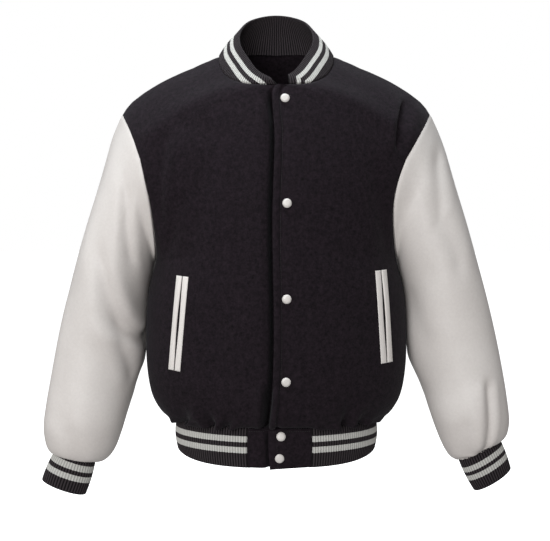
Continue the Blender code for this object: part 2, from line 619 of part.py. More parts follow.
def add_rib(name, seam, surface, height_rows, closed=False, turned=False, ends=None):
    """A rib-knit wall: ribs raised in its outer points, plain inside.

    seam holds the seam's points, inward directions and gap shifts, nine numbers a point.
    surface gives the smooth outer form at a share along the seam and a share of the height.
    turned runs the seam the other way, where the faces would look inwards; ends moves the two ends.
    """
    if turned:
        seam = seam[::-1]
    steps = np.linalg.norm(np.diff(seam[:, :3], axis=0), axis=1)
    ribs = int(round(steps.sum() / RIB_PITCH))
    outer_at = np.linspace(0, 1, 2 * ribs + 1)
    inner_count = max(ribs // 2, 8)
    inner_at = np.linspace(0, 1, inner_count + 1)
    if closed:
        outer_at = outer_at[:-1]
        inner_at = inner_at[:-1]

    def sheet_points(at):
        seam_row = along_chain(seam, at)
        rows = [seam_row[:, :3]]
        run = 1 - at if turned else at
        rows += [surface(run, np.full(len(at), v)) for v in height_rows[1:]]
        return np.stack(rows), seam_row

    outer, outer_seam = sheet_points(outer_at)
    inner, inner_seam = sheet_points(inner_at)
    outer_faces = grid_faces(len(outer), len(outer_at), wrap=closed)
    inner_faces = grid_faces(len(inner), len(inner_at), wrap=closed)
    outer_normal = normals_of(outer.reshape(-1, 3), outer_faces).reshape(outer.shape)
    inner_normal = normals_of(inner.reshape(-1, 3), inner_faces).reshape(inner.shape)
    inner_normal[0] = inner_seam[:, 3:6]
    outer[0] += outer_seam[:, 6:9]
    inner[0] += inner_seam[:, 6:9]
    raised = np.arange(len(outer_at)) % 2 * RIB_HEIGHT
    outer[1:] += outer_normal[1:] * raised[None, :, None]
    inner = inner - inner_normal * RIB
    if ends is not None:
        for grid in (outer, inner):
            grid[:, 0] += ends[0]
            grid[:, -1] += ends[1]

    rows = len(height_rows)
    start = rows * len(outer_at)
    faces = list(outer_faces) + [tuple(start + k for k in face[::-1]) for face in inner_faces]
    wide_ids = np.arange(start).reshape(rows, -1)
    plain_ids = start + np.arange(rows * len(inner_at)).reshape(rows, -1)
    for row, flip in ((0, False), (rows - 1, True)):
        faces += stitch(wide_ids[row], outer_at, plain_ids[row], inner_at, closed, flip)
    if not closed:
        for column, flip in ((0, False), (-1, True)):
            for i in range(rows - 1):
                quad = (wide_ids[i, column], wide_ids[i + 1, column],
                        plain_ids[i + 1, column], plain_ids[i, column])
                faces += triangles(quad[::-1] if flip else quad)
    points = np.vstack([outer.reshape(-1, 3), inner.reshape(-1, 3)])
    return add_object(name, points, faces, "rib_knit", RIB_FINISH, sharp=50)


def stitch(wide, wide_at, plain, plain_at, closed, flip):
    """Triangles between two rows with different numbers of points, by their shares."""
    wide, plain = list(wide), list(plain)
    wide_at, plain_at = list(wide_at), list(plain_at)
    if closed:
        wide.append(wide[0])
        plain.append(plain[0])
        wide_at.append(1.0)
        plain_at.append(1.0)
    faces = []
    i = j = 0
    while i < len(wide) - 1 or j < len(plain) - 1:
        mid_wide = (wide_at[i] + wide_at[i + 1]) / 2 if i < len(wide) - 1 else 2
        mid_plain = (plain_at[j] + plain_at[j + 1]) / 2 if j < len(plain) - 1 else 2
        if mid_wide <= mid_plain:
            face = (wide[i + 1], wide[i], plain[j])
            i += 1
        else:
            face = (plain[j], plain[j + 1], wide[i])
            j += 1
        faces.append(tuple(int(k) for k in (face[::-1] if flip else face)))
    return faces


def rib_base(members, next_row, flip, closed=False):
    """A rib piece's first stretch as a sheet on the seam's own points, sewn to what it meets."""
    seam = np.concatenate([sheet.points[ids] for sheet, ids, _ in members])
    same = np.zeros(len(seam), bool)
    same[1:] = np.linalg.norm(np.diff(seam, axis=0), axis=1) < 1e-7
    number = np.cumsum(~same) - 1
    seam = seam[~same]
    faces = grid_faces(2, len(seam), wrap=closed)
    base = Sheet(np.concatenate([seam, next_row(seam)]), [f[::-1] for f in faces] if flip else faces)
    base.count = len(seam)
    start = 0
    for sheet, ids, neighbours in members:
        own = number[start:start + len(ids)]
        sew(base, sheet, own, ids, own + base.count, neighbours)
        start += len(ids)
    return base


def seam_chain(base):
    """The seam of a rib piece: its points, inward directions and shifts, nine numbers a point."""
    row = slice(0, base.count)
    doubled = np.linalg.norm(base.shift[row], axis=1, keepdims=True) > SEAM_GAP * 0.75
    shift = np.where(doubled, unit(base.shift[row]) * SEAM_GAP / 2, base.shift[row])
    return np.concatenate([base.points[row], base.inward[row], shift], axis=1)


# ---------------------------------------------------------------- collar
def neck_members(body):
    """The neckline's sheets and points from the right front round the back to the left front."""
    members = []
    for side in (-1, +1):
        front, front_ids = body.front_ids(side)
        back, back_ids = body.back_ids(side)
        rows = np.arange(body.front_neck, body.rows)
        front_part = (front, front_ids[rows, 1], front_ids[rows, 2])
        rows = np.arange(body.back_neck, body.rows)
        back_part = (back, back_ids[rows, 0], back_ids[rows, 1])
        if side < 0:
            members.append(front_part)
            members.append(tuple([back_part[0], back_part[1][::-1], back_part[2][::-1]]))
        else:
            members.append(back_part)
            members.append(tuple([front_part[0], front_part[1][::-1], front_part[2][::-1]]))
    return members


def rim_point(signed):
    """The collar's upper edge, by signed share of the neck seam: -1 right front, 0 back, +1 left."""
    knots = np.concatenate([-RIM["share"][:0:-1], RIM["share"]])
    columns = {name: np.concatenate([RIM[name][:0:-1], RIM[name]]) for name in "xyz"}
    columns["x"][:len(knots) // 2] *= -1
    return np.stack([smooth(knots, columns[name], signed) for name in "xyz"], axis=-1)


def collar_base(body):
    """The collar's foot on the whole neckline."""
    members = neck_members(body)
    return rib_base(members, lambda seam: seam + (rim_point(signed_share(seam)) - seam) * COLLAR_FOOT,
                    flip=True)


def signed_share(seam):
    """Where each point lies along a seam: -1 at its start, 1 at its end."""
    steps = np.concatenate([[0], np.cumsum(np.linalg.norm(np.diff(seam, axis=0), axis=1))])
    return 2 * steps / steps[-1] - 1


def build_collar(base):
    """The stand collar: one strip that narrows to nothing much at the front."""
    seam = seam_chain(base)
    points = seam[:, :3]
    whole = (signed_share(points) + 1) / 2
    front = (points[:, 1] < -0.08) & (whole > 0.5)
    order = np.argsort(points[front, 0])
    end = float(np.interp(COLLAR_LAP_END, points[front, 0][order], whole[front][order]))
    shares = np.concatenate([whole[whole < end], [end]])
    outward = unit(np.cross(np.gradient(points, axis=0), rim_point(2 * whole - 1) - points))
    chain = along_chain(seam, shares)
    out_chain = np.stack([np.interp(shares, whole, outward[:, k]) for k in range(3)], axis=-1)
    chain_share = (signed_share(chain[:, :3]) + 1) / 2

    def surface(at, v):
        base_row = along_chain(chain, at)[:, :3]
        out = unit(np.stack([np.interp(at, chain_share, out_chain[:, k]) for k in range(3)], axis=-1))
        rim = rim_point(2 * np.interp(at, chain_share, shares) - 1)
        bulge = COLLAR_BULGE * np.sin(math.pi * v)
        return base_row + (rim - base_row) * v[:, None] + out * bulge[:, None]

    add_rib("collar", chain, surface, (0, 0.3, 0.65, 1.0), turned=True)


# ---------------------------------------------------------------- waistband and tabs
def band_point(seam_point, v):
    """The waistband's form under a point of its seam: down, with a slight swell and draw-in."""
    front = smoothstep(0.02, -0.11, seam_point[..., 1])
    height = BAND_SIDE + (BAND_FRONT - BAND_SIDE) * front
    grow = 1 - BAND_DRAW_IN * v**2
    out = unit(seam_point * (1, BAND_TURN, 0))
    low = seam_point * np.stack([grow, grow, np.ones_like(grow)], axis=-1)
    low[..., 2] -= height * v
    return low + out * (BAND_BULGE * np.sin(math.pi * v))[..., None]


def band_base(body, tab):
    """The waistband's upper stretch on the hem, from one tab round the back to the other."""
    right, right_ids = body.front_ids(-1)
    left, left_ids = body.front_ids(+1)
    members = [
        (right, right_ids[0, tab:], right_ids[1, tab:]),
        (body.back, body.right_ids[0, ::-1], body.right_ids[1, ::-1]),
        (body.back, body.left_ids[0, 1:], body.left_ids[1, 1:]),
        (left, left_ids[0, tab:][::-1], left_ids[1, tab:][::-1])]
    return rib_base(members, lambda seam: band_point(seam, np.full(len(seam), 0.5)), flip=False)


def build_waistband(base):
    """The ribbed band, from one tab round the sides and back to the other."""
    seam = seam_chain(base)

    def surface(at, v):
        return band_point(along_chain(seam, at)[:, :3], v)

    ends = [unit(seam[1, :3] - seam[0, :3]) * SEAM_GAP, unit(seam[-2, :3] - seam[-1, :3]) * SEAM_GAP]
    add_rib("waistband", seam, surface, (0, 0.5, 1.0), ends=ends)


def build_tab(body, side, tab):
    """The plain tab that ends the waistband under one front."""
    front, ids = body.front_ids(side)
    columns = ids[0, :tab + 1]
    points = front.points[columns]
    levels = (0, 0.33, 0.67, 1.0)
    grid = np.stack([band_point(points, np.full(len(points), v)) for v in levels])
    if side > 0:
        grid[1:, 0, 0] = smooth(LAP_EDGE["z"], LAP_EDGE["x"], grid[1:, 0, 2])
    faces = grid_faces(len(levels), len(columns))
    if side > 0:
        faces = [face[::-1] for face in faces]
    sheet = Sheet(grid.reshape(-1, 3), faces)
    own = np.arange(len(columns))
    sew(sheet, front, own, columns, own + len(columns), ids[1, :tab + 1])
    return sheet


# ---------------------------------------------------------------- cuffs
def cuff_end(sleeve, side):
    """The points of a cuff's open end, one under each point of the sleeve's last ring."""
    end = CUFF_LEFT_END if side > 0 else CUFF_RIGHT_END
    angles = np.linspace(0, 2 * math.pi, len(sleeve.last_ring), endpoint=False)
    section = {name: np.array([value]) for name, value in end.items()}
    return sleeve_rings(section, section["mid_y"], angles[None])[0] * (side, 1, 1)


def cuff_base(sleeve, side):
    """A cuff's upper stretch on the sleeve's last ring."""
    low = cuff_end(sleeve, side)
    members = [(sleeve, sleeve.last_ring, sleeve.next_ring)]
    return rib_base(members, lambda seam: seam + (low - seam) * CUFF_FOOT, flip=side < 0, closed=True)


def build_cuff(base, low, side):
    """One cuff: a rib tube from the sleeve's last ring to its own open end."""
    seam = seam_chain(base)
    seam = np.vstack([seam, seam[:1]])
    low = np.vstack([low, low[:1]])
    share = (signed_share(seam[:, :3]) + 1) / 2

    def surface(at, v):
        top = along_chain(seam, at)[:, :3]
        bottom = np.stack([np.interp(at, share, low[:, k]) for k in range(3)], axis=-1)
        middle = top + (bottom - top) * v[:, None]
        out = unit(middle - middle.mean(axis=0))
        return middle + out * (CUFF_BELLY * np.sin(math.pi * v))[:, None]

    name = "cuff_left" if side > 0 else "cuff_right"
    add_rib(name, seam, surface, (0, 0.35, 1.0), closed=True, turned=side < 0)


# ---------------------------------------------------------------- pockets and snaps
def tree_of(sheet):
    """The sheet's faces, to find the point of it under a place seen from the front."""
    points = [Vector(p) for p in sheet.points + sheet.shift]
    return BVHTree.FromPolygons(points, sheet.faces)


def on_surface(tree, x, z):
    """The point of the surface in front of x, z, and its outward normal."""
    place, normal, _, _ = tree.ray_cast(Vector((x, -1.0, z)), Vector((0, 1, 0)))
    if normal.y > 0:
        normal = -normal
    return np.array(place), np.array(normal)


def build_welts(trees):
    """Two strips a pocket, one on each side of its slit, moved out from the front's points."""
    stations = np.linspace(0, 1, WELT_STATIONS)
    for side, x0, z0, x1, z1 in zip(*POCKETS.values()):
        name = "left" if side > 0 else "right"
        way = unit(np.array([x1 - x0, z1 - z0]))
        across = np.array([-way[1], way[0]])
        near = WELT_SLIT / 2
        for strip, low, high in (("inner", -near - WELT_WIDTH, -near), ("outer", near, near + WELT_WIDTH)):
            rows = []
            for station in stations:
                for offset in (low, (low + high) / 2, high):
                    x = x0 + (x1 - x0) * station + across[0] * offset
                    z = z0 + (z1 - z0) * station + across[1] * offset
                    place, normal = on_surface(trees[side], x * side, z)
                    thick = WELT_THICK * (1.0 if offset == (low + high) / 2 else WELT_EDGE)
                    rows.append((place + normal * WELT_LIFT, place + normal * (WELT_LIFT + thick)))
            under = np.array([row[0] for row in rows])
            over = np.array([row[1] for row in rows])
            faces = grid_faces(len(stations), 3)
            count = len(over)
            both = list(faces) + [tuple(count + k for k in face[::-1]) for face in faces]
            both += [(b, a, count + a, count + b) for a, b in border_edges(faces)]
            if facing_of(over, faces) > 0:
                both = [face[::-1] for face in both]
            add_object(f"welt_{name}_{strip}", np.vstack([over, under]), both, "sleeve_leather",
                       LEATHER_FINISH, sharp=60)


def facing_of(points, faces):
    """Which way along Y the faces look, on the whole."""
    return float(normals_of(points, faces)[:, 1].sum())


def build_snap(number, tree, x, z):
    """One snap: a low domed cap, turned from a profile, seated square on the cloth."""
    place, normal = on_surface(tree, x, z)
    turn = Vector(normal).to_track_quat("Z", "Y").to_matrix().to_4x4()
    seat = Matrix.Translation(Vector(place + normal * SNAP_LIFT)) @ turn
    points = []
    for radius, height in SNAP_PROFILE:
        for k in range(SNAP_SIDES):
            angle = 2 * math.pi * k / SNAP_SIDES
            points.append((SNAP_RADIUS * radius * math.cos(angle), SNAP_RADIUS * radius * math.sin(angle),
                           SNAP_HEIGHT * height))
    faces = grid_faces(len(SNAP_PROFILE), SNAP_SIDES, wrap=True)
    faces.append(tuple(reversed(range(SNAP_SIDES))))
    faces.append(tuple(range(len(points) - SNAP_SIDES, len(points))))
    placed = [seat @ Vector(p) for p in points]
    add_object(f"snap_{number}", placed, faces, "snap_cap", SNAP_FINISH, sharp=50)


# ---------------------------------------------------------------- the whole jacket
def build_jacket():
    """Makes every piece as a sheet, sews the sheets, then gives them their thickness."""
    body = Body()
    sew_body(body)
    sleeves = {side: build_sleeve(body, side) for side in (+1, -1)}
    neck = collar_base(body)
    tab = int(np.flatnonzero(np.isclose(ACROSS, TAB_END))[0]) + 1
    band = band_base(body, tab)
    tabs = {side: build_tab(body, side, tab) for side in (+1, -1)}
    wrists = {side: cuff_base(sleeves[side], side) for side in (+1, -1)}
    share_inward([body.front_left, body.front_right, body.back],
                 [neck, band, *sleeves.values(), *tabs.values(), *wrists.values()])
    build_collar(neck)
    build_waistband(band)
    add_wall("front_left", body.front_left, WOOL, "melton_wool", WOOL_FINISH)
    add_wall("front_right", body.front_right, WOOL, "melton_wool", WOOL_FINISH)
    add_wall("back", body.back, WOOL, "melton_wool", WOOL_FINISH)
    for side, name in ((+1, "left"), (-1, "right")):
        build_cuff(wrists[side], cuff_end(sleeves[side], side), side)
        add_wall(f"sleeve_{name}", sleeves[side], LEATHER, "sleeve_leather", LEATHER_FINISH)
        add_wall(f"tab_{name}", tabs[side], WOOL, "melton_wool", WOOL_FINISH)
    build_welts({+1: tree_of(body.front_left), -1: tree_of(body.front_right)})
    front_tree = tree_of(body.front_left)
    tab_tree = tree_of(tabs[+1])
    for number, (x, z) in enumerate(zip(SNAPS["x"], SNAPS["z"]), start=1):
        build_snap(number, front_tree if number <= 4 else tab_tree, x, z)


for old in list(bpy.data.objects):
    bpy.data.objects.remove(old)
build_jacket()
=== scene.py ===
import math

import bpy
import numpy as np
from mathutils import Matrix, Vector


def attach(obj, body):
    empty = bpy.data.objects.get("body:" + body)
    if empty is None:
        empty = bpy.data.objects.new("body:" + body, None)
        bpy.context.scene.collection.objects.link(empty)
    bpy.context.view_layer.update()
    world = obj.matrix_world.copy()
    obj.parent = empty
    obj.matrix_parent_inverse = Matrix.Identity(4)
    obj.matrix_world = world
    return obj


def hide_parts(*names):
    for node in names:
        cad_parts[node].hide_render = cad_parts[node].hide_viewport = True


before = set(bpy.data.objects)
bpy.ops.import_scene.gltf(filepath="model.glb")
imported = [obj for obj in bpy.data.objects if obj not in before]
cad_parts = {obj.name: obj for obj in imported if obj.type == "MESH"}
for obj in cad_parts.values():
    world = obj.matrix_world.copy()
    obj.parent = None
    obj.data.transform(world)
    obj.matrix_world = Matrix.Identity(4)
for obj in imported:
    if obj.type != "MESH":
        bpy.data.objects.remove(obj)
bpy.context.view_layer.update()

# A varsity jacket, filled out as if worn.  +X is the wearer's left, -Y the front, +Z up, and the
# origin lies on the shoulder line in the middle of the neck.  Lengths are in metres.


# ---------------------------------------------------------------- the place
# A pale floor and white surroundings that give off less light than they show, and soft lamps: a
# wide one from the front, a cooler one from above that catches the shoulders, a weak one from the
# side and one from behind.  The camera stands level with the waist, 1.8 m before the shoulders.
CAMERA_AWAY = 1.8
CAMERA_HEIGHT = -0.29
VIEW_WIDTH = 0.935          # what the frame spans at the shoulder line
SHIFT_X = -1.3 / 550
SHIFT_Y = -40.5 / 550
SKY_LIGHT = 0.35            # what the white surroundings give off, as a part of what they show
FLOOR_HEIGHT = -1.15
FLOOR_REACH = 40

camera_data = bpy.data.cameras.new("camera")
camera_data.sensor_width = 36
camera_data.lens = 36 * CAMERA_AWAY / VIEW_WIDTH
camera_data.shift_x = SHIFT_X
camera_data.shift_y = SHIFT_Y
camera = bpy.data.objects.new("camera", camera_data)
camera.location = (0, -CAMERA_AWAY, CAMERA_HEIGHT)
camera.rotation_euler = (math.pi / 2, 0, 0)
bpy.context.scene.collection.objects.link(camera)
bpy.context.scene.camera = camera
bpy.context.scene.view_settings.view_transform = "Standard"


def add_lamp(name, place, aim, size, power, colour=(1, 1, 1)):
    """A square soft lamp that looks from its place at its aim."""
    data = bpy.data.lights.new(name, "AREA")
    data.color = colour
    data.shape = "SQUARE"
    data.size = size
    data.energy = power
    lamp = bpy.data.objects.new(name, data)
    lamp.location = place
    lamp.rotation_euler = (Vector(aim) - Vector(place)).to_track_quat("-Z", "Y").to_euler()
    bpy.context.scene.collection.objects.link(lamp)


def node(tree, kind, values=None, **settings):
    """A shader node with its settings, and with a value or a link on each named input."""
    made = tree.nodes.new(kind)
    for key, value in settings.items():
        setattr(made, key, value)
    for key, value in (values or {}).items():
        if isinstance(value, bpy.types.NodeSocket):
            tree.links.new(value, made.inputs[key])
        else:
            made.inputs[key].default_value = value
    return made


def new_material(name, values):
    """A material whose Principled shader has these values on its inputs."""
    made = bpy.data.materials.new(name)
    made.use_nodes = True
    shader = made.node_tree.nodes["Principled BSDF"]
    for key, value in values.items():
        shader.inputs[key].default_value = value
    return made, made.node_tree, shader


add_lamp("front lamp", (-0.9, -2.8, 0.2), (0, 0, -0.4), 2.0, 57)
add_lamp("top lamp", (-0.35, -0.3, 2.0), (0, 0, -0.1), 1.2, 52, (0.86, 0.95, 1.0))
add_lamp("side lamp", (-2.4, -0.6, 0.1), (-0.2, 0, -0.4), 1.2, 3)
add_lamp("back lamp", (0.4, 2.6, 0.9), (0, 0, -0.3), 1.8, 30)

world = bpy.data.worlds.new("even sky")
world.use_nodes = True
sky = world.node_tree
seen = node(sky, "ShaderNodeLightPath").outputs["Is Camera Ray"]
strength = node(sky, "ShaderNodeMapRange", {"Value": seen, "To Min": SKY_LIGHT}).outputs["Result"]
sky.links.new(strength, sky.nodes["Background"].inputs["Strength"])
sky.nodes["Background"].inputs["Color"].default_value = (1, 1, 1, 1)
bpy.context.scene.world = world

floor_mesh = bpy.data.meshes.new("floor")
floor_mesh.from_pydata([(x * FLOOR_REACH, y * FLOOR_REACH, FLOOR_HEIGHT)
                        for x, y in ((-1, -1), (1, -1), (1, 1), (-1, 1))], [], [(0, 1, 2, 3)])
floor = bpy.data.objects.new("floor", floor_mesh)
bpy.context.scene.collection.objects.link(floor)
floor_mesh.materials.append(new_material("pale floor", {
    "Base Color": (0.93, 0.93, 0.93, 1), "Emission Color": (1, 1, 1, 1), "Emission Strength": 0.9,
    "Roughness": 0.9})[0])
floor.visible_diffuse = False
floor.visible_glossy = False


# ---------------------------------------------------------------- fronts and back
# Three panels of near-black melton wool, a felted cloth about 2 mm thick, cut flat and sewn at
# the sides and shoulders.  The wearer's left front laps over the right one; its edge is folded
# back and topstitched.  The hem is gathered a little into the rib band.
WOOL = 0.0020
SEAM_GAP = 0.0003
UNDERARM = 7                # section where the side seam becomes the armhole
FRONT_NECK = 12             # section where the middle line becomes the neckline
BACK_NECK = 13
SHOULDER = 16
ARMHOLE_LEAN = 0.008        # how far both front armholes are pulled to the wearer's right
LEAN_SECTIONS = {+1: 6.5, -1: 8}      # over how many sections above the underarm
UNDERLAP = 0.026            # how far the under front reaches past the middle
LAP_SINK = 0.0046           # how deep the under front lies behind the over front
LAP_GROOVE = 0.0250         # how much deeper it dips under the over front's edge
GROOVE_WIDTH = 0.0044
HEM_RISE = (0, 0.018, 0.039, 0.069, 0.113)      # height of the first sections over the hem
HEM_SAG = 0.0065            # how far the gathered cloth sags over the band between its tucks
EDGE_THICK = 0.0016         # what the folded-back cloth adds at the over front's edge
PLACKET_STITCH = 0.0125     # from the over front's edge to its row of topstitching
SEAM_DIP = (0.0032, 0.0011)           # width and depth of the dip along a seam
STRIP_COLUMNS = 16          # grid columns of a front's strip past the middle line
PANEL_SPACING = 0.0030      # between the grid rows
NEAR_SEAM = (0.955, 0.964, 0.972, 0.979, 0.985, 0.990, 0.994, 0.9975, 1.0)


def table(columns, *rows):
    """A table with named columns, as one array for each name."""
    return dict(zip(columns.split(), np.array(rows, float).T))


# One row for each section from the hem (0) through the underarm (7) to the shoulder seam (16).
FRONT = table(
    "mid_x   mid_y    mid_z    end_x    end_y    end_z    turn   fall",
    (0.000, -0.119, -0.606,   0.1680,  0.004,  -0.606,   1.00,  2.0),
    (0.000, -0.130, -0.600,   0.1850,  0.004,  -0.602,   1.00,  2.0),
    (0.000, -0.138, -0.584,   0.1985,  0.004,  -0.590,   1.00,  2.0),
    (0.000, -0.143, -0.556,   0.2120,  0.004,  -0.563,   1.00,  2.0),
    (0.000, -0.146, -0.512,   0.2195,  0.003,  -0.517,   1.00,  2.0),
    (0.000, -0.148, -0.452,   0.2207,  0.002,  -0.456,   1.00,  2.0),
    (0.000, -0.149, -0.388,   0.2172,  0.001,  -0.398,   1.00,  2.0),
    (0.000, -0.148, -0.326,   0.2050,  0.000,  -0.345,   0.98,  2.0),
    (0.000, -0.146, -0.276,   0.2000, -0.038,  -0.322,   0.86,  2.0),
    (0.000, -0.142, -0.222,   0.1980, -0.064,  -0.285,   0.76,  2.0),
    (0.000, -0.135, -0.167,   0.1995, -0.078,  -0.245,   0.70,  2.0),
    (0.000, -0.124, -0.110,   0.2060, -0.082,  -0.208,   0.66,  2.0),
    (0.000, -0.110, -0.057,   0.2150, -0.078,  -0.175,   0.64,  1.9),
    (0.050, -0.097, -0.053,   0.2280, -0.068,  -0.149,   0.62,  1.6),
    (0.080, -0.066, -0.038,   0.2405, -0.052,  -0.128,   0.58,  1.45),
    (0.094, -0.032, -0.016,   0.2520, -0.030,  -0.110,   0.55,  1.47),
    (0.098,  0.004,  0.005,   0.2620,  0.000,  -0.094,   0.50,  1.5))
BACK = table(
    "mid_x   mid_y    mid_z    end_x    end_y    end_z    turn   fall",
    (0.000,  0.123, -0.606,   0.1680,  0.004,  -0.606,   1.00,  2.0),
    (0.000,  0.134, -0.600,   0.1850,  0.004,  -0.602,   1.00,  2.0),
    (0.000,  0.141, -0.583,   0.1985,  0.004,  -0.590,   1.00,  2.0),
    (0.000,  0.144, -0.555,   0.2120,  0.004,  -0.563,   1.00,  2.0),
    (0.000,  0.145, -0.510,   0.2195,  0.003,  -0.517,   1.00,  2.0),
    (0.000,  0.145, -0.448,   0.2207,  0.002,  -0.456,   1.00,  2.0),
    (0.000,  0.146, -0.382,   0.2172,  0.001,  -0.398,   1.00,  2.0),
    (0.000,  0.148, -0.320,   0.2050,  0.000,  -0.345,   0.98,  2.0),
    (0.000,  0.149, -0.266,   0.2040,  0.036,  -0.322,   0.86,  2.0),
    (0.000,  0.147, -0.208,   0.2060,  0.060,  -0.285,   0.76,  2.0),
    (0.000,  0.141, -0.150,   0.2100,  0.074,  -0.245,   0.70,  2.0),
    (0.000,  0.128, -0.093,   0.2170,  0.078,  -0.208,   0.66,  2.0),
    (0.000,  0.104, -0.034,   0.2260,  0.075,  -0.175,   0.62,  2.0),
    (0.000,  0.068,  0.022,   0.2360,  0.066,  -0.148,   0.60,  1.8),
    (0.038,  0.062,  0.022,   0.2460,  0.051,  -0.126,   0.57,  1.55),
    (0.074,  0.042,  0.016,   0.2550,  0.029,  -0.109,   0.54,  1.47),
    (0.098,  0.004,  0.005,   0.2620,  0.000,  -0.094,   0.50,  1.5))
BODY = {-1: (FRONT, FRONT_NECK), +1: (BACK, BACK_NECK)}
# The over front's edge, from the foot of the tab to the neck.
LAP_EDGE = table(
    "z        x",
    (-0.680, -0.0100),
    (-0.606, -0.0125),
    (-0.560, -0.0075),
    (-0.480, -0.0040),
    (-0.270, -0.0060),
    (-0.130, -0.0030),
    (-0.080, -0.0065),
    (-0.066, -0.0055),
    (-0.057, -0.0010))

# How the soft cloth stands over the plain shoulder line, from the neck to the armhole.
SHOULDER_LINE = table(
    "share  rise",
    (0.00,  0.0000),
    (0.12, -0.0035),
    (0.28, -0.0045),
    (0.45, -0.0010),
    (0.60,  0.0030),
    (0.78,  0.0068),
    (0.90,  0.0078),
    (0.96,  0.0050),
    (1.00,  0.0000))

# Soft creases in the wool, each along two straight stretches, seen from the front (-1) or the
# back (+1).  Depth is negative for a ridge.  x is as it stands, not mirrored.
WOOL_CREASES = table(
    "face  x0      z0      x1      z1      x2      z2      width   depth",
    (-1,   0.216, -0.090,  0.207, -0.120,  0.204, -0.150,  0.0090,  0.0105),
    (-1,   0.190, -0.075,  0.185, -0.110,  0.183, -0.150,  0.0150, -0.0020),
    (-1,  -0.183, -0.150, -0.194, -0.205, -0.193, -0.270,  0.0130,  0.0045),
    (-1,  -0.158, -0.250, -0.166, -0.280, -0.176, -0.310,  0.0120,  0.0035),
    (-1,  -0.120, -0.200, -0.128, -0.260, -0.150, -0.320,  0.0200,  0.0020),
    (-1,  -0.170, -0.105, -0.150, -0.120, -0.120, -0.128,  0.0180,  0.0018),
    (-1,   0.165, -0.200,  0.172, -0.260,  0.182, -0.310,  0.0140,  0.0030),
    (-1,   0.120, -0.400,  0.140, -0.450,  0.150, -0.520,  0.0200,  0.0018),
    (-1,  -0.090, -0.440, -0.095, -0.500, -0.085, -0.560,  0.0220,  0.0018),
    (-1,  -0.013, -0.550, -0.014, -0.580, -0.017, -0.602,  0.0062,  0.0140),
    (+1,   0.196, -0.130,  0.190, -0.200,  0.184, -0.280,  0.0150,  0.0045),
    (+1,  -0.198, -0.125, -0.194, -0.190, -0.182, -0.270,  0.0160,  0.0050),
    (+1,   0.165, -0.230,  0.140, -0.280,  0.120, -0.340,  0.0190,  0.0030),
    (+1,  -0.160, -0.250, -0.150, -0.310, -0.120, -0.350,  0.0180,  0.0028),
    (+1,   0.120, -0.545,  0.090, -0.560,  0.060, -0.575,  0.0150,  0.0035),
    (+1,  -0.150, -0.520, -0.120, -0.545, -0.090, -0.565,  0.0160,  0.0030),
    (+1,   0.020, -0.400,  0.030, -0.470,  0.010, -0.540,  0.0260,  0.0025),
    (+1,  -0.080, -0.060, -0.030, -0.075,  0.030, -0.072,  0.0200,  0.0020))

# Tucks where the hem is gathered into the band: how far each reaches up, and how deep it is.
HEM_TUCKS = table(
    "face  x       lean    width   reach   depth",
    (-1,  -0.155,  0.10,  0.0046,  0.040,  0.0140),
    (-1,  -0.136, -0.20,  0.0060,  0.026,  0.0025),
    (-1,  -0.118,  0.15,  0.0050,  0.022,  0.0022),
    (-1,  -0.099, -0.25,  0.0044,  0.040,  0.0150),
    (-1,  -0.081,  0.05,  0.0038,  0.034,  0.0120),
    (-1,  -0.066,  0.10,  0.0060,  0.016,  0.0018),
    (-1,  -0.045, -0.10,  0.0070,  0.014,  0.0012),
    (-1,   0.050,  0.10,  0.0070,  0.016,  0.0012),
    (-1,   0.078,  0.15,  0.0060,  0.020,  0.0020),
    (-1,   0.107,  0.20,  0.0042,  0.050,  0.0150),
    (-1,   0.121, -0.10,  0.0055,  0.018,  0.0018),
    (-1,   0.134,  0.15,  0.0042,  0.034,  0.0110),
    (-1,   0.158, -0.05,  0.0055,  0.026,  0.0028),
    (+1,  -0.155,  0.10,  0.0060,  0.030,  0.0035),
    (+1,  -0.128, -0.15,  0.0050,  0.022,  0.0030),
    (+1,  -0.100,  0.20,  0.0060,  0.034,  0.0036),
    (+1,  -0.072, -0.10,  0.0050,  0.020,  0.0026),
    (+1,  -0.045,  0.12,  0.0060,  0.030,  0.0032),
    (+1,  -0.016, -0.05,  0.0050,  0.018,  0.0024),
    (+1,   0.014,  0.10,  0.0060,  0.028,  0.0034),
    (+1,   0.041, -0.15,  0.0048,  0.020,  0.0026),
    (+1,   0.070,  0.10,  0.0060,  0.032,  0.0034),
    (+1,   0.097, -0.20,  0.0050,  0.024,  0.0030),
    (+1,   0.125,  0.10,  0.0060,  0.030,  0.0032),
    (+1,   0.152,  0.05,  0.0052,  0.026,  0.0030))


def smooth(knots, values, at, corners=()):
    """A smooth curve through a table: a cubic between knots, with the mean of the two slopes at
    each knot, and its own slope on each side of a corner."""
    knots = np.asarray(knots, float)
    values = np.asarray(values, float)
    slopes = np.diff(values) / np.diff(knots)
    before = np.concatenate([slopes[:1], slopes])
    after = np.concatenate([slopes, slopes[-1:]])
    mean = (before + after) / 2
    is_corner = np.isin(knots, corners)
    start = np.where(is_corner, after, mean)[:-1]
    end = np.where(is_corner, before, mean)[1:]
    at = np.asarray(at, float)
    i = np.clip(np.searchsorted(knots, at, side="right") - 1, 0, len(knots) - 2)
    span = knots[i + 1] - knots[i]
    s = (at - knots[i]) / span
    return ((2 * s**3 - 3 * s**2 + 1) * values[i] + (s**3 - 2 * s**2 + s) * span * start[i]
            + (3 * s**2 - 2 * s**3) * values[i + 1] + (s**3 - s**2) * span * end[i])


def lap_x(z):
    """Where the over front's edge lies across, at a height."""
    return smooth(LAP_EDGE["z"], LAP_EDGE["x"], z)


def smoothstep(low, high, value):
    """0 below low, 1 above high, and an even S between them."""
    s = np.clip((value - low) / (high - low), 0, 1)
    return s * s * (3 - 2 * s)


